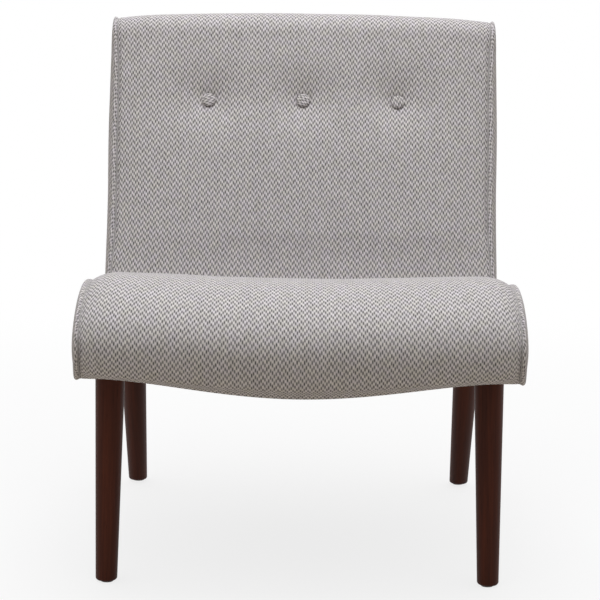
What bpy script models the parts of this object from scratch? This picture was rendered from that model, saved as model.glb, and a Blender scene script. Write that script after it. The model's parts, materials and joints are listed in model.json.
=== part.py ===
"""Armless upholstered lounge chair: plywood side boards, rails, zigzag springs, foam,
sewn covers, tufted buttons and four turned legs.

Metres, +Z up.  The sitter faces -Y.  Side outlines are drawn in (back, up) pairs, where back is
the distance behind the front of the seat roll; WORLD_SHIFT moves them so that the origin lies
on the floor under the middle of the chair.
"""
import math

import bmesh
import bpy
from mathutils import Matrix, Vector, geometry

# Overall body
BODY_WIDTH = 0.635
SIDE_PUFF = 0.0105
COVER_THICKNESS = 0.0014
LAYER_GAP = 0.0005
FIT_GAP = 0.0003
CUT_OVERRUN = 0.004

# Seat outline at the side seams
CREASE_HEIGHT = 0.370
CREASE_BEHIND_CREST = 0.3613
SEAT_CREST_ABOVE_CREASE = 0.071
SEAT_CREST_BACK = 0.118
ROLL_FRONT_BELOW_CREST = 0.069
ROLL_EDGE_BELOW_FRONT = 0.0535
ROLL_EDGE_BACK = 0.027
ROLL_EDGE_ANGLE = math.radians(50)
CREASE_RADIUS = 0.018
SEAT_PITCH = math.radians(11)
UNDERSIDE_PITCH = math.radians(3.4)
HEM_END_GAP = 0.001
HEM_CORNER = 0.006

# Back outline at the side seams
BACK_RECLINE = math.radians(23)
BACK_TOP_ABOVE_CREASE = 0.434
BACK_TOP_THICKNESS = 0.062
BACK_TOP_FALL = 0.010
BACK_TOP_ROLL = 0.030
BACK_REAR_CORNER = 0.010
REAR_FOOT_CORNER_BEHIND_CREASE = 0.1277
REAR_FOOT_CORNER_RADIUS = 0.022

# Crown of the padding
SEAT_CROWN = 0.013
BACK_CROWN = 0.006
BACK_ARCH = 0.004
CROWN_REACH = 0.055
SEAT_SAG = 0.0072
EDGE_BOW = 0.026
TUFT_DEPTH = 0.0105
TUFT_SPREAD_ACROSS = 0.036
TUFT_SPREAD_UP = 0.034
TUFT_VALLEY = 0.0035

# How the padding swells along the rows, from 0 at the hem to 1
HEM_CROWN_SHARE = 0.22
CROWN_RISE_SHARE = 2.2
BACK_CROWN_RISE_SHARE = 5.0
BOW_POWER = 1.6
SAG_POWER = 0.5
ACROSS_POWER = 1.5
SEAT_END_POWER = 6
BACK_TOP_POWER = 3
SEAT_PULL_SHARE = 0.2
BEND_PULL_SHARE = 0.38
TUFT_ROW_SHARES = (-1.5, -0.8, -0.35, 0, 0.35, 0.8, 1.5)
LOWER_ROW_SHARE = 2.4
TUFT_STATION_SHARES = (0.0, 0.45, 1.1)
SEAM_STATION_SHARES = (0.0, 0.06, 0.3, 0.7, 1.3)

# Side panels
SIDE_STATIONS = 34
SIDE_INSETS = (0.0, 0.0035, 0.0095, 0.019)
SIDE_ROLL = 0.017

# Buttons
BUTTON_COUNT = 3
BUTTON_SPACING = 0.156
BUTTON_BELOW_TOP = 0.1459
BUTTON_DIAMETER = 0.0212
BUTTON_RIM = 0.0022
BUTTON_DOME = 0.0048
BUTTON_LIFT = 0.0015
TIE_GAP = 0.0004
TIE_DIAMETER = 0.0024
ANCHOR_DIAMETER = 0.022
ANCHOR_THICKNESS = 0.003

# Foam
SEAT_FOAM = 0.042
BACK_FOAM = 0.036
FRONT_FOAM = 0.036
INSULATOR_THICKNESS = 0.002

# Frame
BOARD_THICKNESS = 0.015
RAIL_THICKNESS = 0.022
TOP_RAIL_THICKNESS = 0.016
TOP_RAIL_DEPTH = 0.040
TOP_FOAM = 0.014
LOWER_RAIL_UP_BACK = 0.078
RAIL_DEPTH = 0.058
BOARD_CORNER = 0.012
BLOCK_BEYOND_LEG = 0.020
BLOCK_WIDTH = 0.058
BLOCK_HEIGHT = 0.034

# Springs
SPRING_COUNT = 4
SPRING_SPACING = 0.128
SPRING_WIRE = 0.0038
SPRING_WIDTH = 0.048
SPRING_BENDS = 15
CLIP_TOP_TAIL = 0.003
CLIP_SHEET = 0.0012
CLIP_WIDTH = 0.016

# Webbing over the open part of the back
STRAP_WIDTH = 0.050
STRAP_THICKNESS = 0.0015
STRAP_END = 0.004
STRAP_PLACE_SHARES = (0.20, 0.50, 0.84)

# Legs
FRONT_FOOT_BACK = 0.105
FRONT_LEG_LEAN = 0.022
REAR_LEG_TOP_BEFORE_CORNER = 0.045
REAR_LEG_LEAN = 0.126
FOOT_INSET = 0.0385
FRONT_LEG_SPLAY = math.radians(1.07)
FRONT_FOOT_RADIUS = 0.0156
FRONT_LEG_TOP_RADIUS = 0.0206
REAR_FOOT_RADIUS = 0.0152
REAR_LEG_TOP_RADIUS = 0.0216
FOOT_ROUND = 0.004
GLIDE_DIAMETER = 0.019
GLIDE_THICKNESS = 0.002
BOLT_DIAMETER = 0.008
BOLT_IN_LEG = 0.030
NUT_BARREL_WALL = 0.0014
NUT_BARREL_LENGTH = 0.011
NUT_FLANGE_DIAMETER = 0.020
NUT_FLANGE_THICKNESS = 0.0016

# Covers below
DUST_COVER_THICKNESS = 0.001

# Smoothness of the forms
LEG_SIDES = 24
SMALL_SIDES = 16
ROW_NUDGE_SHARE = 1e-3

CREASE_BACK = SEAT_CREST_BACK + CREASE_BEHIND_CREST
SEAT_CREST_HEIGHT = CREASE_HEIGHT + SEAT_CREST_ABOVE_CREASE
ROLL_FRONT_HEIGHT = SEAT_CREST_HEIGHT - ROLL_FRONT_BELOW_CREST
ROLL_EDGE_HEIGHT = ROLL_FRONT_HEIGHT - ROLL_EDGE_BELOW_FRONT
BACK_TOP_HEIGHT = CREASE_HEIGHT + BACK_TOP_ABOVE_CREASE
REAR_FOOT_CORNER_BACK = CREASE_BACK + REAR_FOOT_CORNER_BEHIND_CREASE
BUTTON_UP_BACK = BACK_TOP_ABOVE_CREASE / math.cos(BACK_RECLINE) - BUTTON_BELOW_TOP
REAR_LEG_TOP_BACK = REAR_FOOT_CORNER_BACK - REAR_LEG_TOP_BEFORE_CORNER
REAR_FOOT_BACK = REAR_LEG_TOP_BACK + REAR_LEG_LEAN
FRONT_LEG_TOP_BACK = FRONT_FOOT_BACK + FRONT_LEG_LEAN
LEG_TRACK = BODY_WIDTH - 2 * FOOT_INSET
SEAM_HALF = BODY_WIDTH / 2 - SIDE_PUFF
BOARD_OUTER = SEAM_HALF - FIT_GAP
BOARD_INNER = BOARD_OUTER - BOARD_THICKNESS
RAIL_HALF = BOARD_INNER - FIT_GAP
SKIN = COVER_THICKNESS + LAYER_GAP


def flat(back, up):
    """A point of the side outline."""
    return Vector((back, up))


def heading(angle):
    """Unit vector of the side outline at this angle above straight back."""
    return Vector((math.cos(angle), math.sin(angle)))


def left_of(direction):
    """The direction turned a quarter turn to its left."""
    return Vector((-direction.y, direction.x))


def meet(point, direction, other_point, other_direction):
    """Where two lines of the side outline cross."""
    cross = direction.x * other_direction.y - direction.y * other_direction.x
    gap = other_point - point
    along = (gap.x * other_direction.y - gap.y * other_direction.x) / cross
    return point + direction * along


def curve_between(start, start_direction, end, end_direction, steps, pull_share=BEND_PULL_SHARE):
    """Points of a smooth stretch between two headings, its end left out."""
    pull = (end - start).length * pull_share
    points = geometry.interpolate_bezier(
        start, start + start_direction * pull, end - end_direction * pull, end, steps + 1
    )
    return [Vector(point) for point in points[:-1]]


def fillet(before, corner, after, radius, steps):
    """Points of a round corner between two straight stretches."""
    towards = (before - corner).normalized()
    away = (after - corner).normalized()
    half = towards.angle(away) / 2
    reach = radius / math.tan(half)
    centre = corner + (towards + away).normalized() * (radius / math.sin(half))
    start = corner + towards * reach - centre
    end = corner + away * reach - centre
    turn = start.angle_signed(end)
    points = []
    for step in range(steps + 1):
        swing = -turn * step / steps
        points.append(centre + Matrix.Rotation(swing, 2) @ start)
    return points


def rounded(corners, steps=3):
    """A closed outline whose corners are (point, radius) pairs."""
    outline = []
    for index, (corner, radius) in enumerate(corners):
        before = corners[index - 1][0]
        after = corners[(index + 1) % len(corners)][0]
        if radius > 0:
            outline.extend(fillet(before, corner, after, radius, steps))
        else:
            outline.append(corner)
    return outline


# Lines of the side outline
seat_heading = heading(-SEAT_PITCH)
back_heading = heading(math.pi / 2 - BACK_RECLINE)
under_heading = heading(-UNDERSIDE_PITCH)
crease = flat(CREASE_BACK, CREASE_HEIGHT)
roll_edge = flat(ROLL_EDGE_BACK, ROLL_EDGE_HEIGHT)
rear_foot_corner = roll_edge + under_heading * (
    (REAR_FOOT_CORNER_BACK - ROLL_EDGE_BACK) / under_heading.x
)
back_top_front = meet(crease, back_heading, flat(CREASE_BACK, BACK_TOP_HEIGHT), heading(0))
back_top_rear = back_top_front + heading(-math.atan2(BACK_TOP_FALL, BACK_TOP_THICKNESS)) * (
    BACK_TOP_THICKNESS / math.cos(BACK_RECLINE)
)
rear_heading = (back_top_rear - rear_foot_corner).normalized()


# Lines that the frame and the foam share
seat_base = crease - left_of(seat_heading) * SEAT_FOAM
back_base = crease - left_of(back_heading) * BACK_FOAM
foam_corner = meet(seat_base, seat_heading, back_base, back_heading)
felt_drop = FIT_GAP + INSULATOR_THICKNESS
board_drop = felt_drop + FIT_GAP
clip_ring = SPRING_WIRE / 2 + FIT_GAP
clip_tail = RAIL_THICKNESS / 2 - CLIP_SHEET
wire_drop = felt_drop + FIT_GAP + CLIP_SHEET + clip_ring
rail_drop = wire_drop + clip_ring + CLIP_SHEET + FIT_GAP
back_board_inset = BACK_FOAM + FIT_GAP + STRAP_THICKNESS + FIT_GAP
front_rail_front = FRONT_FOAM + SKIN
front_rail_rear = front_rail_front + RAIL_THICKNESS
rear_rail_rear = foam_corner.x
rear_rail_front = rear_rail_rear - RAIL_THICKNESS
under_board = roll_edge + left_of(under_heading) * SKIN
back_length = (back_top_front - crease).length
top_heading = (back_top_rear - back_top_front).normalized()
top_board = back_top_front - left_of(top_heading) * (TOP_FOAM + SKIN)
rear_board = rear_foot_corner + left_of(rear_heading) * SKIN


def world(x, point):
    """World place of a side-outline point at this width."""
    return Vector((x, point.x + WORLD_SHIFT, point.y))


def material(name, colour, roughness, metallic=0.0):
    """A plain finish for one piece."""
    finish = bpy.data.materials.new(name)
    finish.use_nodes = True
    shader = finish.node_tree.nodes["Principled BSDF"]
    shader.inputs["Base Color"].default_value = (*colour, 1.0)
    shader.inputs["Roughness"].default_value = roughness
    shader.inputs["Metallic"].default_value = metallic
    finish.diffuse_color = (*colour, 1.0)
    return finish


FINISHES = {
    "weave": ((0.42, 0.40, 0.39), 0.95, 0.0),
    "plywood": ((0.62, 0.45, 0.27), 0.70, 0.0),
    "hardwood": ((0.50, 0.33, 0.19), 0.65, 0.0),
    "dark_wood": ((0.045, 0.014, 0.010), 0.40, 0.0),
    "foam": ((0.80, 0.74, 0.55), 0.95, 0.0),
    "felt": ((0.34, 0.33, 0.31), 1.0, 0.0),
    "steel": ((0.55, 0.55, 0.56), 0.35, 1.0),
    "webbing": ((0.05, 0.05, 0.055), 0.85, 0.0),
    "twine": ((0.60, 0.55, 0.45), 0.90, 0.0),
    "lining": ((0.02, 0.02, 0.022), 0.95, 0.0),
    "nylon": ((0.04, 0.035, 0.03), 0.50, 0.0),
}

chair = None
cutter_group = None


def add_object(name, data, finish, location=(0, 0, 0), rotation=(0, 0, 0)):
    """Put a finished piece in the chair's collection."""
    piece = bpy.data.objects.new(name, data)
    piece.location = location
    piece.rotation_euler = rotation
    data.materials.append(material(name, *FINISHES[finish]))
    chair.objects.link(piece)
    return piece


def add_cutter(name, mesh, location=(0, 0, 0), rotation=(0, 0, 0)):
    """Put a cutting shape in its own collection, out of the render."""
    cutter = bpy.data.objects.new(name, mesh)
    cutter.location = location
    cutter.rotation_euler = rotation
    cutter.hide_render = True
    cutter.display_type = "WIRE"
    cutter_group.objects.link(cutter)
    return cutter


def cut(piece, cutter):
    """Cut one shape out of a piece."""
    boolean = piece.modifiers.new(cutter.name, "BOOLEAN")
    boolean.operation = "DIFFERENCE"
    boolean.solver = "EXACT"
    boolean.object = cutter


def mesh_from(name, build):
    """A mesh made by a function that fills a bmesh."""
    mesh = bpy.data.meshes.new(name)
    shape = bmesh.new()
    build(shape)
    shape.normal_update()
    shape.to_mesh(mesh)
    shape.free()
    return mesh


def smooth(mesh, angle=math.radians(35)):
    """Shade a round mesh smooth, with its true edges sharp."""
    mesh.shade_smooth()
    mesh.set_sharp_from_angle(angle=angle)


def profile_board(name, outline, thickness, x, finish):
    """A board cut to a side outline, standing along the chair's depth."""
    curve = flat_curve(name, [(point.x + WORLD_SHIFT, point.y) for point in outline], thickness)
    return add_object(name, curve, finish, (x, 0, 0), (math.pi / 2, 0, math.pi / 2))


def flat_curve(name, outline, thickness):
    """A closed flat outline, filled on both sides and extruded to a thickness."""
    curve = bpy.data.curves.new(name, "CURVE")
    curve.dimensions = "2D"
    curve.fill_mode = "BOTH"
    curve.extrude = thickness / 2
    spline = curve.splines.new("POLY")
    spline.points.add(len(outline) - 1)
    for point, (across, up) in zip(spline.points, outline):
        point.co = (across, up, 0, 1)
    spline.use_cyclic_u = True
    return curve


def curve_as_mesh(piece):
    """Turn a curve piece into a mesh piece, so that it can be cut."""
    bpy.context.view_layer.update()
    evaluated = piece.evaluated_get(bpy.context.evaluated_depsgraph_get())
    mesh = bpy.data.meshes.new_from_object(evaluated)
    shape = bmesh.new()
    shape.from_mesh(mesh)
    bmesh.ops.remove_doubles(shape, verts=shape.verts, dist=ROW_NUDGE_SHARE * COVER_THICKNESS)
    bmesh.ops.recalc_face_normals(shape, faces=shape.faces)
    shape.to_mesh(mesh)
    shape.free()
    made = bpy.data.objects.new(piece.name, mesh)
    made.matrix_world = piece.matrix_world
    name = piece.name
    old = piece.data
    bpy.data.objects.remove(piece)
    bpy.data.curves.remove(old)
    made.name = name
    chair.objects.link(made)
    return made


def rod_mesh(name, radius, bottom, top, sides=SMALL_SIDES):
    """A closed rod along its own Z axis, from one height to another."""
    def build(shape):
        middle = Matrix.Translation((0, 0, (bottom + top) / 2))
        bmesh.ops.create_cone(
            shape, cap_ends=True, segments=sides, radius1=radius, radius2=radius,
            depth=top - bottom, matrix=middle,
        )
    mesh = mesh_from(name, build)
    smooth(mesh)
    return mesh


def turned(name, profile, finish, location, rotation, sides=SMALL_SIDES):
    """A turned piece: a half profile at +X, top to bottom, swept by a Screw modifier."""
    mesh = bpy.data.meshes.new(name)
    vertices = [(radius, 0, height) for radius, height in profile]
    edges = [(index, index + 1) for index in range(len(profile) - 1)]
    mesh.from_pydata(vertices, edges, [])
    piece = add_object(name, mesh, finish, location, rotation)
    screw = piece.modifiers.new("turning", "SCREW")
    screw.axis = "Z"
    screw.steps = sides
    screw.render_steps = sides
    screw.use_merge_vertices = True
    screw.merge_threshold = ROW_NUDGE_SHARE * COVER_THICKNESS
    screw.use_smooth_shade = False
    return piece


# Side outline, from the hem under the front rail over the seat and up the back
class Row:
    """One line of the cover across the chair: its place, its facing and how far it swells."""

    def __init__(self, point, crown, bow, sag, arch):
        self.point = point
        self.crown = crown
        self.bow = bow
        self.sag = sag
        self.arch = arch
        self.facing = flat(0, 0)


def face_rows(rows):
    """Give each row the outward direction of the outline there."""
    for index, row in enumerate(rows):
        before = rows[max(index - 1, 0)].point
        after = rows[min(index + 1, len(rows) - 1)].point
        row.facing = left_of((after - before).normalized())
    return rows


def seat_rows():
    """Rows of the seat cover, from its hem to the crease."""
    hem_reach = front_rail_rear - HEM_END_GAP - ROLL_EDGE_BACK
    roll_heading = Vector((-math.sin(ROLL_EDGE_ANGLE), math.cos(ROLL_EDGE_ANGLE)))
    hem_end = roll_edge + under_heading * hem_reach
    hem_corner = fillet(hem_end, roll_edge, roll_edge + roll_heading * hem_reach, HEM_CORNER, 3)
    front = flat(0, ROLL_FRONT_HEIGHT)
    crest = flat(SEAT_CREST_BACK, SEAT_CREST_HEIGHT)
    crease_reach = CREASE_RADIUS * math.tan((math.pi / 2 - BACK_RECLINE + SEAT_PITCH) / 2)
    crease_round = fillet(
        crease - seat_heading * SEAT_FOAM, crease, crease + back_heading * SEAT_FOAM,
        CREASE_RADIUS, 4,
    )
    seat_end = crease - seat_heading * (crease_reach + HEM_CORNER)
    points = [hem_end]
    points += hem_corner
    points += curve_between(hem_corner[-1], roll_heading, front, heading(math.pi / 2), 3)[1:]
    points += curve_between(front, heading(math.pi / 2), crest, heading(0), 5)
    points += curve_between(crest, heading(0), seat_end, seat_heading, 5, SEAT_PULL_SHARE)
    points += [seat_end] + crease_round[:3]
    rows = []
    lowest = roll_edge.y
    for index, point in enumerate(points):
        under = index <= 2
        low = max(0.0, (ROLL_FRONT_HEIGHT - point.y) / (ROLL_FRONT_HEIGHT - lowest))
        ahead = point.x < SEAT_CREST_BACK
        rear = max(0.0, (point.x - SEAT_CREST_BACK) / (CREASE_BACK - SEAT_CREST_BACK))
        risen = HEM_CROWN_SHARE + CROWN_RISE_SHARE * max(0.0, 1 - low)
        crown = 0.0 if under else min(1.0, risen) * (1 - rear ** SEAT_END_POWER)
        bow = min(1.0, low) ** BOW_POWER if ahead else 0.0
        sag = 1.0 if ahead else (1 - rear) ** SAG_POWER
        rows.append(Row(point, crown * SEAT_CROWN, bow * (EDGE_BOW - SEAT_SAG), sag * SEAT_SAG, 0.0))
    return face_rows(rows)


def back_rows():
    """Rows of the inside-back cover, from the crease over the top to the rear edge."""
    crease_round = fillet(
        crease - seat_heading * SEAT_FOAM, crease, crease + back_heading * SEAT_FOAM,
        CREASE_RADIUS, 4,
    )
    length = (back_top_front - crease).length
    start = (crease_round[-1] - crease).length
    end = length - BACK_TOP_ROLL
    tuft = BUTTON_UP_BACK
    near = TUFT_SPREAD_UP
    lower = [start + (tuft - LOWER_ROW_SHARE * near - start) * step / 2 for step in (1, 2)]
    around = [tuft + near * share for share in TUFT_ROW_SHARES]
    upper = [around[-1] + (end - around[-1]) * step / 2 for step in (1, 2)]
    seam_step = (crease_round[3] - crease_round[2]).normalized() * LAYER_GAP
    points = [crease_round[2] + seam_step] + crease_round[3:]
    points += [crease + back_heading * reach for reach in lower + around + upper]
    top_round = fillet(crease, back_top_front, back_top_rear, BACK_TOP_ROLL, 3)
    points += top_round[1:]
    rear_round = fillet(back_top_front, back_top_rear, rear_foot_corner, BACK_REAR_CORNER, 3)
    points += rear_round
    points.append(rear_round[-1] - rear_heading * BACK_REAR_CORNER)
    rows = []
    for index, point in enumerate(points):
        up = (point - crease).dot(back_heading) / length
        crown = min(1.0, max(0.0, BACK_CROWN_RISE_SHARE * up))
        behind = max(0.0, (point - back_top_front).dot(heading(0)) / BACK_TOP_THICKNESS)
        crown *= max(0.0, 1 - behind ** BACK_TOP_POWER)
        last = index >= len(points) - 2
        crown = 0.0 if last else crown
        rows.append(Row(point, crown * BACK_CROWN, 0.0, 0.0, crown * BACK_ARCH * min(1.0, up ** 2)))
    return face_rows(rows)


def middle_of_depth():
    """Distance from the front of the roll at the seams to the middle of the chair's depth."""
    front = min((row.point + row.facing * row.crown).x for row in seat_rows())
    rear = max(row.point.x for row in back_rows())
    return (front + rear) / 2


WORLD_SHIFT = -middle_of_depth()


def edge_roll(x):
    """How far the padding has risen this far from the side seam, from 0 to 1."""
    into = min(1.0, (SEAM_HALF - abs(x)) / CROWN_REACH)
    return math.sqrt(max(0.0, 1 - (1 - into) ** 2))


def middle(x):
    """A smooth swell, 0 over the legs and 1 in the middle of the chair."""
    share = abs(x) / (LEG_TRACK / 2)
    return math.cos(min(1.0, share) * math.pi / 2) ** ACROSS_POWER


def button_places():
    """Distance of each button from the middle."""
    first = -(BUTTON_COUNT - 1) / 2
    return [(first + index) * BUTTON_SPACING for index in range(BUTTON_COUNT)]


def tuft_pull(x, up):
    """Depth that the buttons draw the back in, this far across and up it."""
    rise = (up - BUTTON_UP_BACK) / TUFT_SPREAD_UP
    pull = 0.0
    for place in button_places():
        aside = (x - place) / TUFT_SPREAD_ACROSS
        pull += TUFT_DEPTH * math.exp(-(aside ** 2 + rise ** 2) / 2)
    edge = BUTTON_SPACING * (BUTTON_COUNT - 1) / 2 + TUFT_SPREAD_ACROSS
    fade = min(1.0, max(0.0, (SEAM_HALF - abs(x)) / (SEAM_HALF - edge)))
    return pull + TUFT_VALLEY * fade * math.exp(-rise ** 2 / 3)


def skin_point(row, x):
    """Place of the cover's outer face on one row, at this width."""
    swell = row.crown * edge_roll(x) + row.arch * (1 - (x / SEAM_HALF) ** 2)
    up = (row.point - crease).dot(back_heading)
    if row.arch > 0:
        swell -= tuft_pull(x, up)
    point = row.point + row.facing * swell
    drop = (row.bow + row.sag) * middle(x)
    return world(x, point - flat(0, drop))


def stations(inner):
    """Widths at which the covers are drawn, from left to right."""
    outer = [SEAM_HALF - CROWN_REACH * share for share in SEAM_STATION_SHARES]
    least = CROWN_REACH * SEAM_STATION_SHARES[2] / 2
    right = [x for x in outer if x > inner[-1] + least]
    return sorted([-x for x in right] + inner + right)


def seat_stations():
    """Widths for the seat."""
    step = (SEAM_HALF - SEAM_STATION_SHARES[-1] * CROWN_REACH) / 4
    return stations([step * index for index in range(-3, 4)])


def back_stations():
    """Widths for the back, closer together at the buttons."""
    inner = set()
    for place in button_places():
        for share in TUFT_STATION_SHARES:
            inner.add(round(place - TUFT_SPREAD_ACROSS * share, 6))
            inner.add(round(place + TUFT_SPREAD_ACROSS * share, 6))
    return stations(sorted(inner))


def skin_grid(shape, rows, widths):
    """An open sheet of faces through the rows at the given widths, facing out."""
    grid = [[shape.verts.new(skin_point(row, x)) for x in widths] for row in rows]
    for lower, upper in zip(grid, grid[1:]):
        for index in range(len(widths) - 1):
            shape.faces.new((lower[index], lower[index + 1], upper[index + 1], upper[index]))
    shape.normal_update()
    return grid


def sewn_cover(name, rows, widths):
    """A cover of cloth thickness on the rows."""
    mesh = mesh_from(name, lambda shape: skin_grid(shape, rows, widths))
    smooth(mesh)
    piece = add_object(name, mesh, "weave")
    wall = piece.modifiers.new("cloth", "SOLIDIFY")
    wall.thickness = COVER_THICKNESS
    wall.offset = -1
    return piece


def foam_block(name, rows, widths, base):
    """Foam that fills a cover, down to a base line across the chair."""
    end = SEAM_HALF - LAYER_GAP

    def build(shape):
        sheet = bmesh.new()
        grid = skin_grid(sheet, rows, widths)
        inner = [[vert.co - vert.normal * SKIN for vert in line] for line in grid]
        sheet.free()
        rings = []
        for index in range(len(widths)):
            x = max(-end, min(end, inner[0][index].x))
            ring = []
            for line in inner:
                place = line[index]
                across = x if index in (0, len(widths) - 1) else place.x
                ring.append(shape.verts.new((across, place.y, place.z)))
            for point in base(widths[index]):
                ring.append(shape.verts.new(world(x, point)))
            rings.append(ring)
        for left, right in zip(rings, rings[1:]):
            for index in range(len(left)):
                nearby = (index + 1) % len(left)
                shape.faces.new((left[index], right[index], right[nearby], left[nearby]))
        shape.faces.new(rings[0])
        shape.faces.new(list(reversed(rings[-1])))
        bmesh.ops.recalc_face_normals(shape, faces=shape.faces)
    mesh = mesh_from(name, build)
    smooth(mesh)
    return add_object(name, mesh, "foam")


def plank(name, centre, across, thickness, depth, finish):
    """A straight board across the chair, leaning with the back."""
    def build(shape):
        bmesh.ops.create_cube(shape, size=1.0)
        bmesh.ops.scale(shape, verts=shape.verts, vec=(across, thickness, depth))
    return add_object(name, mesh_from(name, build), finish, world(0, centre), (-BACK_RECLINE, 0, 0))


def on_seat(back, drop):
    """Point of the seat's base line at this distance back, lowered square to it."""
    line_point = seat_base - left_of(seat_heading) * drop
    return meet(line_point, seat_heading, flat(back, 0), heading(math.pi / 2))


def on_underside(back, rise):
    """Point of the chair's underside at this distance back, raised square to it."""
    line_point = roll_edge + left_of(under_heading) * rise
    return meet(line_point, under_heading, flat(back, 0), heading(math.pi / 2))


def behind_back(up, inset):
    """Point this far up the back and this deep behind its face."""
    return crease + back_heading * up - left_of(back_heading) * inset


def loft_across(name, widths, section, finish):
    """A solid through one closed section at each width."""
    def build(shape):
        rings = [[shape.verts.new(world(x, point)) for point in section(x)] for x in widths]
        for left, right in zip(rings, rings[1:]):
            for index in range(len(left)):
                nearby = (index + 1) % len(left)
                shape.faces.new((left[index], right[index], right[nearby], left[nearby]))
        shape.faces.new(rings[0])
        shape.faces.new(list(reversed(rings[-1])))
        bmesh.ops.recalc_face_normals(shape, faces=shape.faces)
    return add_object(name, mesh_from(name, build), finish)


def side_board_outline():
    """S-shaped plywood side, inside the foam and the covers."""
    rear_round = REAR_FOOT_CORNER_RADIUS - SKIN
    front_line = flat(front_rail_front, 0)
    seat_board = seat_base - left_of(seat_heading) * board_drop
    back_board = crease - left_of(back_heading) * back_board_inset
    up = heading(math.pi / 2)
    return rounded([
        (meet(front_line, up, seat_board, seat_heading), BOARD_CORNER),
        (meet(seat_board, seat_heading, back_board, back_heading), BOARD_CORNER / 2),
        (meet(back_board, back_heading, top_board, top_heading), 0),
        (meet(rear_board, rear_heading, top_board, top_heading), 0),
        (meet(rear_board, rear_heading, under_board, under_heading), rear_round),
        (meet(front_line, up, under_board, under_heading), 0),
    ])


def make_frame():
    """Side boards, rails and corner blocks."""
    outline = side_board_outline()
    for side, sign in (("left", -1), ("right", 1)):
        profile_board(
            f"side_board_{side}", outline, BOARD_THICKNESS,
            sign * (BOARD_INNER + BOARD_OUTER) / 2, "plywood",
        )

    def front_section(x):
        drop = flat(0, EDGE_BOW * middle(x))
        return [
            on_underside(front_rail_front, SKIN) - drop,
            on_seat(front_rail_front, rail_drop),
            on_seat(front_rail_rear, rail_drop),
            on_underside(front_rail_rear, SKIN) - drop,
        ]
    widths = [x for x in seat_stations() if abs(x) < RAIL_HALF]
    widths = [-RAIL_HALF] + widths + [RAIL_HALF]
    loft_across("front_rail", widths, front_section, "hardwood")
    rear_section = [
        on_underside(rear_rail_front, SKIN), on_seat(rear_rail_front, rail_drop),
        on_seat(rear_rail_rear, rail_drop), on_underside(rear_rail_rear, SKIN),
    ]
    profile_board("rear_seat_rail", rear_section, 2 * RAIL_HALF, 0, "hardwood")

    across = 2 * RAIL_HALF
    middle_inset = back_board_inset + RAIL_THICKNESS / 2
    plank("lower_back_rail", behind_back(LOWER_RAIL_UP_BACK, middle_inset), across,
          RAIL_THICKNESS, RAIL_DEPTH, "hardwood")
    button_rail = plank("button_rail", behind_back(BUTTON_UP_BACK, middle_inset), across,
                        RAIL_THICKNESS, RAIL_DEPTH, "hardwood")
    board_top = meet(back_base, back_heading, top_board, top_heading)
    top_up = (board_top - crease).dot(back_heading) - TOP_RAIL_DEPTH / 2 - BOARD_CORNER
    plank("top_back_rail", behind_back(top_up, back_board_inset + TOP_RAIL_THICKNESS / 2), across,
          TOP_RAIL_THICKNESS, TOP_RAIL_DEPTH, "hardwood")
    return button_rail


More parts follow.
